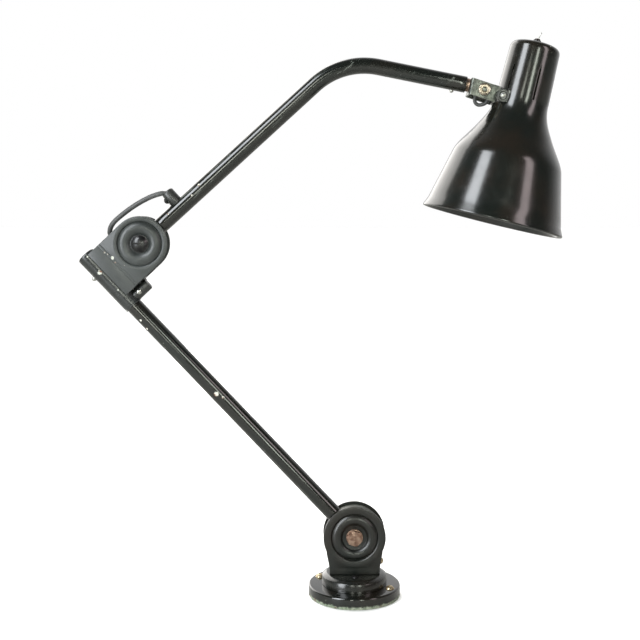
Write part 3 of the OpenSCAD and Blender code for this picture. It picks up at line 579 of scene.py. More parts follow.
ELBOW_ROUTE = [                 # from the elbow pivot, in millimetres
    (4.3, 1, -50), (4.3, 9, -50), (3, 15.5, -48), (-1.5, 18.8, -40.5),
    (-8, 19.2, -30), (-16, 19.2, -17.5), (-25.5, 18.6, -5.5), (-35.5, 17, 4),
    (-39, 12.5, 13), (-35, 9, 23), (-24, 6, 33), (-7, 3, 45),
    (10, 1, 54), (22, 0, 58), (27, 0, 58.2), (31, 0, 58),
]
HEAD_ROUTE = [                  # from the shade's tilt pivot
    (-15, 0, 6.7), (-11, 0, 5.7), (-8, 2.5, 2.3), (-7.2, 5.5, -3.6),
    (-7.9, 7.5, -9.6), (-6.5, 8, -13.6), (-2.5, 8, -15.5), (3.5, 6, -14.1),
    (8, 2.5, -9.6), (12, 0, -6.3), (15.5, 0, -7.2), (19.5, 0, -8.2),
]


def smooth_line(points, steps, start):
    """A smooth line through the given points, in metres, shifted by start."""
    line = []
    last = len(points) - 1
    for i in range(last):
        a, b, c, d = (Vector(points[min(max(k, 0), last)]) for k in range(i - 1, i + 3))
        for k in range(steps):
            t = k / steps
            line.append((2 * b + (c - a) * t + (2 * a - 5 * b + 4 * c - d) * t * t
                         + (3 * b - a - 3 * c + d) * t ** 3) * 0.5 * MM + start)
    return line + [Vector(points[last]) * MM + start]


def cable(name, route, place, radius, node):
    """A cable between two housings, swept along a smooth line through its route."""
    line = smooth_line(route, 6, place)
    curve = bpy.data.curves.new(name, "CURVE")
    curve.dimensions = "3D"
    curve.bevel_depth = radius * MM
    curve.bevel_resolution = 5
    curve.use_fill_caps = True
    spline = curve.splines.new("POLY")
    spline.points.add(len(line) - 1)
    for knot, point in zip(spline.points, line):
        knot.co = (*point, 1)
    piece = bpy.data.objects.new(name, curve)
    bpy.context.scene.collection.objects.link(piece)
    only(piece)
    bpy.ops.object.convert(target="MESH")
    piece = bpy.context.object
    bpy.ops.object.shade_smooth_by_angle(angle=math.radians(60))
    piece.data.materials.clear()
    piece.data.materials.append(cable_sheath)
    length = sum((b - a).length for a, b in zip(line, line[1:]))
    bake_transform(piece)
    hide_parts(node)
    return piece


make_camera()
tilt_pivot = joint_point("head_tilt")
elbow_cable = cable("cable_at_elbow", ELBOW_ROUTE, joint_point("elbow_tilt"), FLEX_R,
                    "elbow_cable")
head_cable = cable("cable_at_head", HEAD_ROUTE, tilt_pivot, HEAD_FLEX_R, "head_cable")


# ---- screws and nuts ---------------------------------------------------------

def slotted_screw(name, radius, height, slot, shank_r, shank_l, flat=0.25):
    """A round-head screw on z = 0 with a straight slot along X."""
    ball = (radius * radius + height * height) / (2 * height)
    reach = math.degrees(math.asin(min(radius / ball, 1)))
    dome = [(r, z - ball + height) for r, z in arc(0, 0, ball, 90 - reach, 90, 9)]
    rings = [(0, -shank_l), (shank_r, -shank_l), (shank_r, 0), (radius, 0), (radius, flat)]
    rings += [(r, max(z, flat)) for r, z in dome[1:-1]] + [(0, height)]
    screw = turned(name, rings, 48)
    groove = block("groove", (-2 * radius, -slot / 2, height * 0.5), (2 * radius, slot / 2, 9))
    carve(screw, groove)
    return soften(screw, min(0.12, radius * 0.03), 2, 40)


def hexagon(name, across, low, high, bore=0.0):
    """A hexagon about +Z with its corners turned off at the top."""
    corner = across / math.sqrt(3)
    nut = turned(name, [(0, low), (corner, low), (corner, high), (0, high)], 6)
    crown = turned("crown", [
        (0, low - 1), (corner + 1, low - 1), (corner + 1, high - corner * 0.12),
        (across * 0.52, high), (0, high)])
    carve(nut, crown, way="INTERSECT")
    if bore:
        carve(nut, rod("bore", bore, low - 5, high + 5))
    return soften(nut, 0.25, 2, 30)


def washer(name, r_out, r_in, low, high):
    ring = turned(name, [(r_in, low), (r_out, low), (r_out, high), (r_in, high), (r_in, low)])
    return soften(ring, 0.12, 2)


# ---- base --------------------------------------------------------------------

BASE_R = 53
BASE_T = 12.5
HOLE_CIRCLE = 44.5
EMPTY_HOLE = 64                 # degrees; then a screw, an empty hole and a screw


def on_circle(degrees, height):
    return turn(degrees, "Z") @ shift(HOLE_CIRCLE, 0, height)


def make_base():
    flange = turned("base_casting", [
        (8.1, BASE_T), (BASE_R - 1.3, BASE_T), (BASE_R - 0.25, BASE_T - 0.9),
        (BASE_R, BASE_T - 1.6), (BASE_R, 0.6), (BASE_R - 0.5, 0), (20, 0), (20, 7), (8.1, 7),
        (8.1, BASE_T)], 128)
    holes = [set_at(rod("hole", radius, -1, BASE_T + 1, 48), on_circle(EMPTY_HOLE + quarter, 0))
             for quarter, radius in ((0, 2.6), (90, 2.05), (180, 2.6), (270, 2.05))]
    carve(flange, *holes)
    carve(flange, set_at(rod("cord_hole", 4.3, 0, BASE_R + 4, 48), shift(0, 0, 5.5) @ BACK))
    soften(flange, 0.3, 3, 40)
    fit(flange, "base_flange", base_enamel())

    screw = slotted_screw("base_screw_left", 5.2, 3.4, 1.4, 1.95, 11.5)
    angles = (EMPTY_HOLE + 90, EMPTY_HOLE + 270)
    right = copied(screw, "base_screw_right", on_circle(angles[1], BASE_T + 0.05) @ turn(65, "Z"))
    set_at(screw, on_circle(angles[0], BASE_T + 0.05) @ turn(20, "Z"))
    fit(screw, "base_screws", brass)
    fit(right, "base_screws", brass)

    gland = turned("cord_gland", [
        (3.2, -14), (4.25, -14), (4.25, 0.05), (5.1, 0.1), (5.2, 0.7), (5.0, 1.3), (4.4, 1.5),
        (3.4, 1.5), (3.2, 1.2), (3.2, -14)], 48)
    set_at(gland, shift(0, BASE_R, 5.5) @ BACK)
    fit(gland, "cord_gland", black_rubber)


def base_enamel():
    """The base's enamel, with old green paint that shows along its bottom rim."""
    paint = Finish("base_enamel")
    height = paint.part(paint.place, "Z")
    ragged = paint.noise(170, 5, 0.7)
    fine = paint.noise(700, 3, 0.7)
    low = (height + ragged * 9 + fine * 3).step(10.2, 7.4)
    worn = (paint.edges(1.2) * 2 + fine - 0.5).step(0.45, 0.7)
    chips = (paint.noise(70, 3) * 0.6 + fine * 0.4).step(0.66, 0.68)
    green = paint.mix(paint.noise(260, 4, 0.7).step(0.40, 0.62),
                      (0.10, 0.14, 0.085), (0.30, 0.33, 0.25))
    green = paint.mix(paint.noise(90, 3).step(0.56, 0.66), green, RUST)
    colour = paint.mix(paint.noise(25, 4).step(0.35, 0.7), BLACK_GREEN, BROWN_BLACK)
    colour = paint.mix((worn * 0.5).most(chips * 0.6), colour, (0.22, 0.24, 0.18))
    colour = paint.mix(low * 0.9, colour, green)
    rough = 0.10 + paint.noise(60, 5, 0.65).step(0.45, 0.8) * 0.14 + low * 0.45 + worn * 0.2
    paint.set(base_color=colour, roughness=rough, coat_weight=(1 - low) * 0.4,
              coat_roughness=0.05,
              normal=paint.bump(paint.noise(150, 2) * 0.5 - low * 0.5 + fine * 0.1, 0.15, 0.7))
    return paint.material


# ---- turret ------------------------------------------------------------------

TURRET_Z = BASE_T + 0.3
TURRET_R = 37.5
TURRET_TOP = TURRET_Z + 12.7
TURRET_TOP_R = 32
PIVOT_H = joint_point("lower_tilt").z / MM
CHEEK_R = 36
TAPER_Z = PIVOT_H - 15.6
TAPER_X = math.sqrt(CHEEK_R ** 2 - 15.6 ** 2)
NECK_X = 29
NECK_Z = TAPER_Z - 19.7
LOWER_DRUM_R = 33


def make_turret():
    body = turned("turret_casting", [
        (8.1, TURRET_Z), (TURRET_R, TURRET_Z), (TURRET_R, TURRET_TOP - 3.4),
        (TURRET_R - 0.5, TURRET_TOP - 2.6), (TURRET_TOP_R + 0.6, TURRET_TOP - 0.2),
        (TURRET_TOP_R - 0.6, TURRET_TOP), (4.5, TURRET_TOP), (4.5, TURRET_Z + 14),
        (8.1, TURRET_Z + 14), (8.1, TURRET_Z)], 128)
    core = drawn("core", [
        (-NECK_X, TURRET_TOP - 2), (NECK_X, TURRET_TOP - 2), (NECK_X, NECK_Z),
        (TAPER_X, 50), (-TAPER_X, 50), (-NECK_X, NECK_Z)], 2 * GAP - 0.1)
    set_at(core, shift(0, GAP - 0.05, 0) @ FRONT)
    scoop = set_at(rod("scoop", LOWER_DRUM_R + 0.5, -20, 20), PIVOT @ FRONT)
    carve(core, scoop, rod("wire_way", 4.5, 0, 60, 48))
    carve(body, core, way="UNION")
    soften(body, 0.35, 3, 38)
    fit(body, "turret", turret_enamel)

    screw = slotted_screw("turret_screw_front", 3.9, 2.6, 1.0, 1.8, 5.5)
    back = copied(screw, "turret_screw_back", shift(0, 21.5, TURRET_TOP + 0.05))
    set_at(screw, shift(0, -21.5, TURRET_TOP + 0.05) @ turn(35, "Z"))
    fit(screw, "turret_screws", black_steel)
    fit(back, "turret_screws", black_steel)


def relief(recess_r, groove_r, outer_r):
    """Rings of a pressed side plate about its pivot, its outer face towards +Z."""
    mid = (recess_r + groove_r) / 2 + 0.4
    half = (groove_r - recess_r) / 2 - 1.0
    crown = arc(mid, PLATE_OUT - half * 1.3, half * 1.65, 30, 150, 18)
    crown = [(r, z) for r, z in crown if z > PLATE_OUT - 1.3]
    return [
        (5.05, GAP - 1), (5.05, CUP_FLOOR - 0.2), (5.3, CUP_FLOOR),
        (recess_r - 0.9, CUP_FLOOR), (recess_r - 0.3, CUP_FLOOR + 0.3),
        *reversed(crown),
        (groove_r - 0.6, PLATE_OUT - 1.7), (groove_r + 0.6, PLATE_OUT - 1.75),
        (groove_r + 1.3, PLATE_OUT - 1.2), (groove_r + 1.9, PLATE_OUT - 0.4),
        (groove_r + 2.7, PLATE_OUT), (outer_r - 1.4, PLATE_OUT), (outer_r - 0.4, PLATE_OUT - 0.4),
        (outer_r, PLATE_OUT - 1.4), (outer_r, GAP + 0.2), (outer_r - 0.2, GAP),
        (recess_r + 2, GAP), (recess_r + 2, GAP - 1), (5.05, GAP - 1)]


def pressed_plate(name, recess_r, groove_r, outer_r, foot):
    """A side plate with ring relief, whose foot is a flat outline joined to the disc."""
    plate = turned(name, relief(recess_r, groove_r, outer_r))
    slab = drawn("slab", foot, PLATE - 0.04)
    soften(slab, 0.8, 3, 40)
    set_at(slab, shift(0, 0, GAP + 0.02))
    carve(slab, rod("middle", groove_r + 3, 0, 30))
    carve(plate, slab, way="UNION")
    return plate


def make_cheeks():
    low = TURRET_TOP + 0.05 - PIVOT_H
    foot = [(-NECK_X, low), (NECK_X, low), (NECK_X, NECK_Z - PIVOT_H),
            (TAPER_X, TAPER_Z - PIVOT_H), (-TAPER_X, TAPER_Z - PIVOT_H),
            (-NECK_X, NECK_Z - PIVOT_H)]
    front = pressed_plate("cheek_front", 14.5, 25.4, CHEEK_R, foot)
    back = copied(front, "cheek_back", PIVOT @ turn(180, "Z") @ FRONT)
    set_at(front, PIVOT @ FRONT)
    fit(front, "lower_cheek_front", cheek_enamel)
    fit(back, "lower_cheek_back", cheek_enamel)

    seat = CUP_FLOOR + 0.9
    head = hexagon("pivot_bolt", 16, seat, seat + 4.5)
    shank = rod("shank", 5, -seat - 7.5, seat + 1, 48)
    carve(head, shank, way="UNION")
    set_at(head, PIVOT @ FRONT @ turn(14, "Z"))
    fit(head, "lower_pivot_bolt", rusty_steel)
    nut = set_at(hexagon("pivot_nut", 16, seat, seat + 6, 5.02), PIVOT @ BACK)
    fit(nut, "lower_pivot_nut", rusty_steel)
    ring = washer("pivot_washer_front", 9.5, 5.05, CUP_FLOOR + 0.05, CUP_FLOOR + 0.85)
    other = copied(ring, "pivot_washer_back", PIVOT @ BACK)
    set_at(ring, PIVOT @ FRONT)
    fit(ring, "lower_pivot_washers", rusty_steel)
    fit(other, "lower_pivot_washers", rusty_steel)

    low_x = NECK_X + (TAPER_X - NECK_X) * (38 - NECK_Z) / (TAPER_Z - NECK_Z)
    screw = slotted_screw("neck_screw", 4, 3.2, 1.0, 2, 10)
    set_at(screw, shift(low_x + 0.8, 0, 38) @ SIDE @ turn(30, "Z"))
    fit(screw, "neck_side_screw", brass)


# ---- arms --------------------------------------------------------------------

def make_drum(name, node, radius, place, recess_r):
    """A drum between two side plates, with the root that carries its arm's tube."""
    wheel = turned(name, [
        (5.05, -DRUM_HALF), (recess_r + 2.7, -DRUM_HALF), (radius - 0.5, -DRUM_HALF),
        (radius, -DRUM_HALF + 0.5), (radius, DRUM_HALF - 0.5), (radius - 0.5, DRUM_HALF),
        (recess_r + 2.7, DRUM_HALF), (5.05, DRUM_HALF), (5.05, -DRUM_HALF)])
    set_at(wheel, FRONT)
    for side in (FRONT, BACK):
        carve(wheel, set_at(rod("room", recess_r + 2.7, 8.7, 12), side))
    root = rod("root", TUBE_R, 20, radius + 0.8)
    carve(wheel, root, way="UNION")
    carve(wheel, rod("wire_way", 4, 12, 80, 48))
    soften(wheel, 0.3, 2, 40)
    set_at(wheel, place)
    fit(wheel, node, bare_steel)


def make_lower_arm():
    start = LOWER_DRUM_R + 0.85
    end = elbow_in_lower.z + 29.7
    length = end - start
    rings = [(TUBE_R, start + length * i / 40) for i in range(41)]
    tube = turned("lower_arm_tube", [
        (TUBE_R - TUBE_WALL, start), (TUBE_R - 0.3, start), *rings[:-1], (TUBE_R, end),
        (TUBE_R - TUBE_WALL, end), (TUBE_R - TUBE_WALL, start)])
    set_at(tube, LOWER)
    fit(tube, "lower_tube", lower_tube_enamel)


def make_upper_arm():
    bend = math.radians(lean_of("head_swivel") - UPPER_LEAN)
    bend_r = 86
    tip = UPPER.inverted() @ joint_point("head_swivel") / MM
    run = tip.x / math.sin(bend)
    corner = tip.z - run * math.cos(bend)
    reach = bend_r * math.tan(bend / 2)
    start = 29.85
    fresh()
    bpy.ops.mesh.primitive_circle_add(vertices=SIDES, radius=TUBE_R * MM,
                                      location=(0, 0, start * MM))
    tube = bpy.context.object
    tube.name = "upper_arm_tube"
    bpy.ops.object.transform_apply()
    edit(tube)
    bpy.ops.mesh.select_all(action="SELECT")
    steps = 30
    straight = corner - reach - start
    for _ in range(steps):
        bpy.ops.mesh.extrude_region_move(
            TRANSFORM_OT_translate={"value": (0, 0, straight / steps * MM)})
    bpy.ops.mesh.spin(steps=36, angle=-bend, center=(bend_r * MM, 0, (corner - reach) * MM),
                      axis=(0, 1, 0))
    ahead = Vector((math.sin(bend), 0, math.cos(bend)))
    for _ in range(12):
        move = ahead * (run - reach) / 12 * MM
        bpy.ops.mesh.extrude_region_move(TRANSFORM_OT_translate={"value": move})
    clean()
    close()
    apply(tube, "SOLIDIFY", thickness=TUBE_WALL * MM, offset=-1, use_even_offset=True)
    soften(tube, 0.35, 2, 50)
    set_at(tube, UPPER)
    fit(tube, "upper_tube", upper_tube_enamel)

    screw = slotted_screw("tip_set_screw", 2.6, 2.8, 0.8, 1.75, 2.0)
    set_at(screw, TIP @ shift(0, 0, -15) @ SIDE @ shift(0, 0, TUBE_R + 0.3))
    fit(screw, "tip_screw", bright_steel)


# ---- elbow -------------------------------------------------------------------

ENTRY_R = 7
BOSS_R = 7.4
BOSS_ALONG = 62.6


def make_sleeve():
    top = elbow_in_lower.z + 35.7
    low = top - 82
    sleeve = turned("elbow_sleeve", [
        (TUBE_R + 0.05, low), (SLEEVE_R - 0.3, low), (SLEEVE_R, low + 0.3), (SLEEVE_R, low + 1.6),
        (SLEEVE_R - 0.25, low + 1.9), (SLEEVE_R - 0.25, low + 2.5), (SLEEVE_R, low + 2.8),
        *[(SLEEVE_R, low + 10 + 6.5 * i) for i in range(11)],
        *arc(SLEEVE_R - 2.2, top - 2.2, 2.2, 0, 90, 6), (0, top), (0, top - 3),
        (TUBE_R + 0.05, top - 3), (TUBE_R + 0.05, low)])
    set_at(sleeve, LOWER)
    fit(sleeve, "elbow_sleeve", sleeve_enamel)
    screw = slotted_screw("sleeve_screw", 3.1, 3.2, 0.9, 2, 3)
    set_at(screw, LOWER @ shift(0, 0, elbow_in_lower.z + 8.3) @ OTHER_SIDE
           @ shift(0, 0, SLEEVE_R + 0.4))
    fit(screw, "sleeve_screw", bright_steel)


def make_saddle():
    low = elbow_in_lower.z - 32
    high = elbow_in_lower.z + 32
    foot = block("elbow_saddle", (4, -PLATE_OUT + 0.6, low), (FOOT_TOP, PLATE_OUT - 0.6, high))
    core = block("core", (4, -GAP + 0.05, low), (FOOT_TOP + 12, GAP - 0.05, high))
    carve(foot, core, way="UNION")
    carve(foot, rod("tube_way", SLEEVE_R + 0.05, low - 20, high + 20))
    scoop = set_at(rod("scoop", 29.5, -20, 20), shift(*elbow_in_lower) @ FRONT)
    carve(foot, scoop)
    step = block("step", (FOOT_TOP - 3.2, -30, low - 5),
                 (FOOT_TOP - 2.6, -PLATE_OUT + 1.1, high + 5))
    mirror = block("step", (FOOT_TOP - 3.2, PLATE_OUT - 1.1, low - 5),
                   (FOOT_TOP - 2.6, 30, high + 5))
    carve(foot, step, mirror)
    soften(foot, 0.6, 3, 40)
    set_at(foot, LOWER)
    fit(foot, "elbow_saddle", grey_enamel)


def make_elbow_covers():
    reach = FOOT_TOP + 0.05 - elbow_in_lower.x
    foot = [(reach, -32), (0, -32), (0, 32), (reach, 32)]
    front = pressed_plate("elbow_cover_front", 11.6, 24.5, 32, foot)
    back = copied(front, "elbow_cover_back", ELBOW @ turn(180, "X") @ FRONT)
    set_at(front, ELBOW @ FRONT)
    fit(front, "elbow_cover_front", grey_enamel)
    fit(back, "elbow_cover_back", grey_enamel)

    bear = CUP_FLOOR + 0.05
    here = Matrix.Translation(joint_point("elbow_tilt"))
    screw = slotted_screw("elbow_pivot_screw", 10.5, 4.6, 2.2, 5, bear + 19.4, 1.0)
    set_at(screw, here @ FRONT @ shift(0, 0, bear) @ turn(-4, "Z"))
    fit(screw, "elbow_pivot_screw", black_steel)
    nut = set_at(hexagon("elbow_pivot_nut", 16, bear + 0.85, bear + 6.85, 5.02), here @ BACK)
    fit(nut, "elbow_pivot_nut", rusty_steel)
    ring = washer("elbow_washer", 9.5, 5.05, bear, bear + 0.8)
    set_at(ring, here @ BACK)
    fit(ring, "elbow_pivot_washer", bare_steel)


def make_cable_entries():
    along = elbow_in_lower.z + 35.7 - 82 + ENTRY_R + 0.2
    top = SLEEVE_R + 18.8
    lower = turned("lower_cable_entry", [
        (0, 0), (ENTRY_R, 0), (ENTRY_R, top - 1.2), (ENTRY_R - 0.4, top - 0.35),
        (ENTRY_R - 1.2, top), (0, top)])
    set_at(lower, shift(0, 0, along) @ SIDE)
    carve(lower, rod("tube_way", SLEEVE_R + 0.05, 0, 500),
          set_at(rod("cable_way", FLEX_R + 0.15, 0, 30, 48), shift(top - 6, 0, along) @ BACK),
          set_at(rod("wire_way", FLEX_R + 0.15, 0, top - 6, 48), shift(0, 0, along) @ SIDE))
    soften(lower, 0.3, 2, 45)
    set_at(lower, LOWER)
    fit(lower, "lower_cable_entry", entry_enamel)
    screw = slotted_screw("lower_entry_screw", 3.2, 2.4, 0.9, 1.45, 2.5)
    set_at(screw, LOWER @ shift(SLEEVE_R + 5, 0, along) @ FRONT @ shift(0, 0, ENTRY_R + 0.05))
    fit(screw, "lower_entry_screw", bright_steel)

    top = TUBE_R + 15.5
    upper = turned("upper_cable_entry", [
        (0, 0), (BOSS_R, 0), (BOSS_R, top - 2.4), (BOSS_R - 0.5, top - 1.1),
        (BOSS_R - 1.6, top - 0.25), (BOSS_R - 3, top), (0, top)])
    set_at(upper, shift(0, 0, BOSS_ALONG) @ OTHER_SIDE)
    carve(upper, rod("tube_way", TUBE_R + 0.05, 0, 200),
          set_at(rod("cable_way", FLEX_R + 0.15, 0, 30, 48),
                 shift(3.5 - top, 0, BOSS_ALONG) @ turn(-135, "Y")),
          set_at(rod("wire_way", FLEX_R + 0.15, 0, top - 3.5, 48),
                 shift(0, 0, BOSS_ALONG) @ OTHER_SIDE))
    soften(upper, 0.3, 2, 45)
    set_at(upper, UPPER)
    fit(upper, "upper_cable_entry", entry_enamel)
    screw = slotted_screw("upper_entry_screw", 3.9, 2.8, 1.0, 1.75, 3)
    set_at(screw, UPPER @ shift(-TUBE_R - 7, 0, BOSS_ALONG) @ DOWN @ shift(0, 0, BOSS_R + 0.05))
    fit(screw, "upper_entry_screw", black_steel)


# ---- head --------------------------------------------------------------------

BRACKET_HALF = 15.2
SHEET = 2
WEB_Z = 4


def make_bracket():
    end = hinge_in_tip.z + 17.6
    top = -7.5
    bottom = 12
    droop = 0.1
    nose = arc(hinge_in_tip.z, hinge_in_tip.x, 17.6, 33, -54, 12)
    nose = [(z, min(max(x, top + droop * z), bottom + droop * z)) for z, x in nose]
    outline = [(WEB_Z, top), (WEB_Z, bottom), (nose[0][0] - 1, bottom + droop * nose[0][0]),
               *nose, (nose[-1][0] - 1, top + droop * nose[-1][0])]
    outer = drawn("head_bracket", outline, 2 * BRACKET_HALF)
    inner = block("inner", (WEB_Z + SHEET, -40, SHEET),
                  (end + 30, 40, 2 * BRACKET_HALF - SHEET))
    soften(inner, 1.0, 3, 40)
    place = Matrix(((0, 1, 0, 0), (0, 0, 1, -BRACKET_HALF * MM), (1, 0, 0, 0), (0, 0, 0, 1)))
    corner = block("corner", (WEB_Z, -60, 0), (end + 60, 60, 2 * BRACKET_HALF))
    soften(corner, 2.8, 6, 40)
    carve(outer, corner, way="INTERSECT")
    carve(outer, inner)
    set_at(outer, place)
    carve(outer, rod("nipple_way", 5.05, 0, WEB_Z + SHEET + 1, 48))
    soften(outer, 0.35, 3, 40)
    set_at(outer, TIP)
    fit(outer, "head_bracket", bracket_steel)


def make_head_hardware():
    collar = turned("head_nipple", [
        (3, -25), (7.95, -25), (7.95, 0.05), (8, 0.4), (7.7, 1.0), (7.7, 2.9), (8, 3.3),
        (7.8, 3.7), (5, 3.7), (5, 10.6), (3, 10.6), (3, -25)], 64)
    set_at(collar, TIP)
    fit(collar, "head_nipple", copper)
    nut = hexagon("nipple_nut", 13, WEB_Z + SHEET + 0.3, WEB_Z + SHEET + 2.6, 5.02)
    set_at(nut, TIP)
    fit(nut, "nipple_nut", brass)

    face = BRACKET_HALF + 0.05
    bolt = turned("tilt_bolt", [
        (2.4, -face - 4), (4.5, -face - 4), (4.5, face), (7.2, face), (7.2, face + 2.0),
        (6.6, face + 2.7), (6.0, face + 3.0), (5.4, face + 2.7), (5.2, face + 1.6),
        (3.6, face + 1.6), (3.4, face + 2.5), (3.0, face + 2.9), (2.5, face + 2.5),
        (2.4, face + 1.6), (2.4, -face - 4)], 64)
    here = Matrix.Translation(joint_point("head_tilt"))
    set_at(bolt, here @ FRONT)
    fit(bolt, "head_pivot_bolt", bronze)
    nut = hexagon("tilt_nut", 13, face, face + 3.6, 4.52)
    set_at(nut, here @ BACK)
    fit(nut, "head_pivot_nut", bronze)


# ---- shade -------------------------------------------------------------------

SLOTS = 6
FIRST_SLOT = 12.5               # degrees from the front towards +X
SLOT_LOW = SHADE_H - 71
SLOT_L = 37
EAR_X = -26.7
EAR_Z = hinge_in_shade.z - 3.2


def shade_line(inset=0.0):
    """The shade's profile from the rim's bead to the crown."""
    waist = (RIM_R - 16.6, SHADE_H / 3)
    shoulder = ((RIM_R + NECK_R) / 2 - 10.4, SHADE_H - 110)
    neck = (NECK_R + 0.3, SHADE_H - 69)
    turn_in = (NECK_R - 1.3, SHADE_H - 11)
    crown = (NECK_R - 9, SHADE_H - 2.6)
    line = [(RIM_R + (waist[0] - RIM_R) * i / 8, BEAD_R + (waist[1] - BEAD_R) * i / 8)
            for i in range(9)]
    line += bezier(waist, (waist[0] - 2.4, waist[1] + 10.2),
                   (shoulder[0] + 8, shoulder[1] - 13.9), shoulder, 16)
    line += bezier(shoulder, (shoulder[0] - 9.3, shoulder[1] + 16.1),
                   (neck[0] + 0.2, neck[1] - 16), neck, 16)
    line += [(neck[0] + (turn_in[0] - neck[0]) * i / 7, neck[1] + (turn_in[1] - neck[1]) * i / 7)
             for i in range(1, 8)]
    line += bezier(turn_in, (turn_in[0] - 0.1, turn_in[1] + 5.5),
                   (crown[0] + 4.6, crown[1] - 0.7), crown, 12)
    line += [(crown[0] * (1 - i / 6), crown[1] + (SHADE_H - crown[1]) * math.sin(i * math.pi / 12))
             for i in range(1, 7)]
    return [(max(r - inset, 0), z) for r, z in line]


def make_shade():
    wall = 1.0
    outside = shade_line()
    inside = [(r, z) for r, z in shade_line(wall) if z < SHADE_H - 12]
    roof = [(r - wall * 0.7, z - wall) for r, z in outside if z >= SHADE_H - 12 and r > 2]
    bead = [(RIM_R + BEAD_R * math.cos(a), BEAD_R + BEAD_R * math.sin(a))
            for a in (math.radians(30 * i - 90) for i in range(-2, 5))]
    rings = [*bead, *outside[1:-1], (2, SHADE_H), (2, SHADE_H - wall),
             *reversed(roof), *reversed(inside[1:]), bead[0]]
    shell = turned("bell_shade", rings, 160)
    for i in range(SLOTS):
        angle = FIRST_SLOT - 90 + 360 * i / SLOTS
        slit = block("slit", (NECK_R - 6, -0.9, SLOT_LOW), (NECK_R + 6, 0.9, SLOT_LOW + SLOT_L))
        soften(slit, 0.85, 3, 40)
        carve(shell, set_at(slit, turn(angle, "Z")))
    carve(shell, rod("switch_way", 3.1, SHADE_H - 6, SHADE_H + 6, 48))
    carve(shell, set_at(rod("cable_way", 4.05, 20, 40, 48), shift(0, 0, EAR_Z) @ OTHER_SIDE))
    soften(shell, 0.15, 2, 60)
    set_at(shell, SHADE)
    fit(shell, "shade_shell", shade_enamel, 40)


def make_yoke():
    half = BRACKET_HALF - SHEET - 0.5
    thick = 3.7
    hinge = hinge_in_shade
    reach = -hinge.x - NECK_R + 6
    arm = [*arc(0, 0, 8, 90, 270, 16), (reach, -8), (reach, 8)]
    tongue = drawn("shade_yoke", [(hinge.x + x, hinge.z + z) for x, z in arm], thick)
    soften(tongue, 0.4, 2, 40)
    carve(tongue, set_at(rod("hinge_way", 4.55, -9, 9, 48), shift(hinge.x, hinge.z, 0)))
    other = copied(tongue, "tongue", shift(0, half, 0) @ FRONT)
    set_at(tongue, shift(0, thick - half, 0) @ FRONT)
    low = EAR_Z - 6
    band = turned("band", [
        (NECK_R + 0.4, low), (NECK_R + 1.9, low), (NECK_R + 1.9, low + 16),
        (NECK_R + 0.4, low + 16), (NECK_R + 0.4, low)], 128)
    keep = block("keep", (-60, -24, 0), (-18, 24, 300))
    carve(band, keep, way="INTERSECT")
    soften(band, 0.4, 2, 40)
    ears = []
    for side, way in ((-1, FRONT), (1, BACK)):
        ear = turned("ear", [
            (1.6, 15.6), (7.6, 15.6), (7.6, 25.2), (7.2, 25.8), (6.4, 25.8), (6.2, 25.1),
            (4.9, 25.1), (4.7, 25.8), (1.6, 25.8), (1.6, 15.6)], 64)
        soften(ear, 0.2, 2, 40)
        ears.append(set_at(ear, shift(EAR_X, 0, EAR_Z) @ way))
    neck = rod("neck", NECK_R + 0.36, 0, 300, 128)
    yoke = tongue
    carve(yoke, other, band, *ears, way="UNION")
    carve(yoke, neck)
    carve(yoke, set_at(rod("cable_way", 4.05, 20, 50, 48), shift(0, 0, EAR_Z) @ OTHER_SIDE))
    set_at(yoke, SHADE)
    fit(yoke, "shade_yoke", black_enamel, 40)
    screw = slotted_screw("yoke_screw_front", 3, 2, 0.9, 1.55, 7)
    here = SHADE @ shift(EAR_X, 0, EAR_Z)
    back = copied(screw, "yoke_screw_back", here @ BACK @ shift(0, 0, 25.85))
    set_at(screw, here @ FRONT @ shift(0, 0, 25.85) @ turn(40, "Z"))
    fit(screw, "yoke_screws", bright_steel)
    fit(back, "yoke_screws", bright_steel)


def make_grommet():
    grommet = turned("cable_grommet", [
        (2.45, 0), (3.6, 0), (4, 0.4), (4, 4.9), (2.45, 4.9), (2.45, 0)], 48)
    set_at(grommet, SHADE @ shift(-NECK_R - 2.9, 0, EAR_Z) @ SIDE)
    fit(grommet, "cable_grommet", black_rubber)


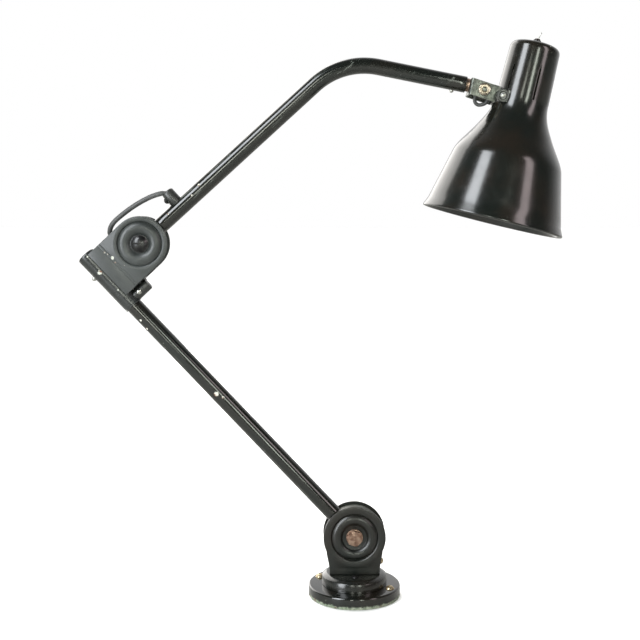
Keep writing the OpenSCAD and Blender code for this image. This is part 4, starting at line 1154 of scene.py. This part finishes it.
def make_bulb():
    mid = SHADE_H - 140
    top = SHADE_H - 70.05
    radius = 30
    dome = arc(0, mid, radius, -90, 20, 26)
    start = dome[-1]
    side = bezier(start, (start[0] - 4, start[1] + 10.99), (15.5, top - 28), (13.5, top - 4), 14)
    outer = [*dome, *side, (13, top)]
    inner = [(r * 0.965, mid + (z - mid) * (0.965 if z < mid else 1)) for r, z in outer]
    bulb = turned("bulb_glass", outer + inner[::-1][:-1] + [(0, mid - radius * 0.965)], 72)
    set_at(bulb, SHADE)
    fit(bulb, "bulb_glass", frosted_glass, 60)

    cap_top = SHADE_H - 45
    ridges = []
    for i in range(6):
        z = cap_top - 22 + 3 * i
        ridges += [(12.6, z), (13.2, z + 0.9), (13.2, z + 1.5), (12.6, z + 2.4)]
    cap = turned("bulb_cap", [
        (12.4, cap_top - 25), (13.2, cap_top - 25), (13.2, cap_top - 23), *ridges,
        (12.4, cap_top - 3.6), (11.2, cap_top - 3.2), (4.6, cap_top - 0.1), (4, cap_top),
        (0, cap_top), (0, cap_top - 1), (11, cap_top - 5), (12, cap_top - 6),
        (12.4, cap_top - 25)], 64)
    set_at(cap, SHADE)
    fit(cap, "bulb_cap", cap_metal)

    top = SHADE_H - 29.05
    ribs = []
    for i in range(5):
        z = top - 40 + 5 * i
        ribs += [(19.5, z), (19.5, z + 2.6), (18.7, z + 3.2), (18.7, z + 4.4)]
    holder = turned("lampholder", [
        (14, top - 44), (19.0, top - 44), (19.5, top - 43.5), *ribs, (19.5, top - 15),
        (19.5, top - 8.5), (18.6, top - 7.2), (12, top - 7), (12, top), (4, top),
        (4, top - 14), (14, top - 14), (14, top - 44)], 72)
    soften(holder, 0.25, 2, 40)
    set_at(holder, SHADE)
    fit(holder, "lampholder", brown_bakelite)


def make_switch():
    nut = turned("switch_nut", [
        (3.05, SHADE_H + 0.1), (4.6, SHADE_H + 0.1), (4.6, SHADE_H + 2.4),
        (4.2, SHADE_H + 3.1), (3.05, SHADE_H + 3.1), (3.05, SHADE_H + 0.1)], 48)
    soften(nut, 0.15, 2)
    set_at(nut, SHADE)
    fit(nut, "switch_nut", black_steel)
    lever = turned("switch_lever", [
        (0, -4), (0.9, -4), (0.9, -1.6), *arc(0, 0, 1.85, -58, 58, 8), (0.75, 4), (0.7, 10.6),
        *arc(0, 11.8, 1.15, -45, 80, 8), (0, 12.95)], 32)
    set_at(lever, leaning(joint_point("switch_toggle"), SHADE_LEAN + 10))
    fit(lever, "switch_lever", bright_steel, 50)


# ---- finishes with wear at set places ----------------------------------------

def tube_enamel(name, place, spots, streak_colour, streaks):
    """Enamel on an arm: its scratches and streaks run along the tube."""
    paint = Finish(name)
    along = paint.turned_to(place)
    cloud = paint.noise(16, 4, vector=along, stretch=(1, 1, 0.3))
    smudge = paint.noise(60, 6, 0.65, vector=along, stretch=(1, 1, 0.35))
    fine = paint.noise(520, 4, 0.7, vector=along)
    speck = paint.noise(1100, 2, vector=along)
    line = paint.noise(260, 3, 0.7, vector=along, stretch=(1, 1, 0.035), distortion=0.3)
    rubbed = line.step(0.60, 0.68) * paint.noise(28, 3, vector=along).step(0.48, 0.60) * streaks
    flakes = (fine * 0.4 + paint.noise(85, 3, vector=along, stretch=(1, 1, 0.6)) * 0.6)
    chipped = flakes.step(0.672, 0.684)
    for point, radius in spots:
        gap = paint.away(along, point) + (fine - 0.5) * radius * 2.4
        chipped = chipped.most(gap.step(radius, radius * 0.8))
    bare = paint.mix(paint.noise(190, 3, vector=along).step(0.45, 0.60), (0.48, 0.48, 0.42), RUST)
    colour = paint.mix(cloud.step(0.35, 0.7), BLACK_GREEN, BROWN_BLACK)
    colour = paint.mix(speck.step(0.64, 0.8) * 0.12, colour, (0.17, 0.17, 0.14))
    colour = paint.mix(rubbed * 0.5, colour, streak_colour)
    colour = paint.mix(chipped * 0.9, colour, bare)
    rough = 0.14 + smudge.step(0.42, 0.75) * 0.14 + rubbed * 0.25 + chipped * 0.45
    height = paint.noise(150, 2, vector=along) * 0.4 - chipped * 0.5 - rubbed * 0.1
    paint.set(base_color=colour, roughness=rough, coat_weight=(1 - chipped) * 0.3,
              coat_roughness=0.07, normal=paint.bump(height + speck * 0.02, 0.12, 0.7))
    return paint.material


entry_enamel = enamel("entry_enamel", light=(0.022, 0.023, 0.021), gloss=0.35, coat=0.1)
sleeve_enamel = enamel(
    "sleeve_enamel", light=(0.016, 0.018, 0.018), gloss=0.27, chips=0.1, place=LOWER,
    spots=[((0, -11.1, 424), 2.6), ((2, -10.9, 447), 1.0), ((1, -11, 395), 0.9),
           ((-9.5, -5.8, 371), 1.0)])
lower_tube_enamel = tube_enamel(
    "lower_tube_enamel", LOWER, [((-1, -9.4, 230), 3.0), ((2, -9.3, 222), 1.5),
                                 ((-5, -8.1, 352), 1.4), ((-7, -6.4, 340), 1.6)],
    (0.12, 0.125, 0.105), 0.5)
upper_tube_enamel = tube_enamel(
    "upper_tube_enamel", UPPER, [((-8, -5.1, 60), 1.6), ((-3.5, -8.8, 47), 1.2),
                                 ((-4, -8.6, 96), 1.5), ((-1, -9.4, 82), 1.1)],
    (0.17, 0.19, 0.165), 1.0)

make_base()
make_turret()
make_cheeks()
make_drum("lower_drum_wheel", "lower_drum", LOWER_DRUM_R, LOWER, 14.5)
make_lower_arm()
make_sleeve()
make_saddle()
make_elbow_covers()
make_cable_entries()
make_drum("elbow_drum_wheel", "elbow_drum", 29, UPPER, 11.6)
make_upper_arm()
make_bracket()
make_head_hardware()
make_shade()
make_yoke()
make_grommet()
make_bulb()
make_switch()

for node, material in {
    "swivel_stud": bare_steel, "swivel_washer": bare_steel, "swivel_nut": bare_steel,
    "lower_flex": cable_sheath, "upper_flex": cable_sheath, "holder_plate": bare_steel,
    "switch_body": brown_bakelite,
}.items():
    mesh = frame["nodes"][node].data
    mesh.materials.clear()
    mesh.materials.append(material)


# ---- floor and light ---------------------------------------------------------

FLOOR_SIZE = 400                # metres, so that it reaches the horizon
FLOOR_HEIGHT = -0.0002          # metres, just below the base


def floor_material():
    """Pale paper whose colour is painted darker where glossy rays see it: a painted shade in the
    floor's reflections on the enamel.
    """
    paper = Finish("floor_paper")
    grain = paper.noise(400, 3)
    tint = paper.mix(grain, (0.86, 0.86, 0.85), (0.90, 0.90, 0.89))
    # painted shade: the floor's colour is darkened only where it is seen in a reflection
    reflection_shade_mask = paper.node("ShaderNodeLightPath", output="Is Glossy Ray")
    tint = paper.mix(reflection_shade_mask, tint, (0.30, 0.30, 0.28))
    paper.set(base_color=tint, roughness=0.7, normal=paper.bump(grain, 0.05, 0.2))
    return paper.material


def make_floor():
    fresh()
    bpy.ops.mesh.primitive_plane_add(size=FLOOR_SIZE, location=(0, 0, FLOOR_HEIGHT))
    floor = bpy.context.object
    floor.name = "floor"
    floor.data.materials.append(floor_material())


def softbox(name, azimuth, elevation, width, height, brightness, colour=(1, 1, 1), far=2.0):
    """A light panel seen from the shade; azimuth 0 is the front and 90 the right."""
    target = mid_of("shade_shell")
    a = math.radians(azimuth)
    e = math.radians(elevation)
    way = Vector((math.sin(a) * math.cos(e), -math.cos(a) * math.cos(e), math.sin(e)))
    light = bpy.data.lights.new(name, "AREA")
    light.shape = "RECTANGLE"
    light.size = width
    light.size_y = height
    light.energy = brightness * math.pi * width * height
    light.color = colour
    lamp = bpy.data.objects.new(name, light)
    bpy.context.scene.collection.objects.link(lamp)
    lamp.location = target + way * far
    lamp.rotation_euler = (-way).to_track_quat("-Z", "Y").to_euler()


def make_world():
    """A studio that is dark in front and pale behind; the camera sees white paper."""
    world = bpy.data.worlds.new("studio")
    bpy.context.scene.world = world
    world.use_nodes = True
    nodes = world.node_tree.nodes
    link = world.node_tree.links.new
    place = nodes.new("ShaderNodeTexCoord")
    split = nodes.new("ShaderNodeSeparateXYZ")
    link(place.outputs["Generated"], split.inputs[0])
    behind = nodes.new("ShaderNodeMapRange")
    behind.interpolation_type = "SMOOTHSTEP"
    behind.inputs["From Min"].default_value = -0.1
    behind.inputs["From Max"].default_value = 0.75
    behind.inputs["To Min"].default_value = 0.10
    behind.inputs["To Max"].default_value = 0.85
    link(split.outputs["Y"], behind.inputs["Value"])
    path = nodes.new("ShaderNodeLightPath")
    strength = nodes.new("ShaderNodeMix")
    link(path.outputs["Is Camera Ray"], strength.inputs[0])
    link(behind.outputs[0], strength.inputs[2])
    strength.inputs[3].default_value = 1.0
    link(strength.outputs[0], nodes["Background"].inputs["Strength"])
    nodes["Background"].inputs["Color"].default_value = (1, 1, 1, 1)


def make_light():
    softbox("left_wall", -142, 14, 1.9, 2.8, 2.6, (1.0, 0.97, 0.93))
    softbox("left_box", -50, 14, 0.75, 2.5, 12, (0.92, 0.96, 1.0))
    softbox("window_left", -13, 6, 0.2, 0.9, 13, (0.97, 1.0, 0.88))
    softbox("window_right", 12, 6, 0.26, 0.9, 13, (0.94, 1.0, 0.88))
    softbox("right_box", 46, 19, 0.5, 1.15, 5, (1.0, 0.86, 0.87))
    sky = bpy.data.lights.new("overhead_sheet", "SUN")
    sky.energy = 3.6
    sky.angle = math.radians(55)
    sheet = bpy.data.objects.new("overhead_sheet", sky)
    bpy.context.scene.collection.objects.link(sheet)
    sheet.rotation_euler = (math.radians(-30), 0, 0)
    sheet.visible_glossy = False
    make_world()
    bpy.context.scene.view_settings.view_transform = "Standard"


make_floor()
make_light()
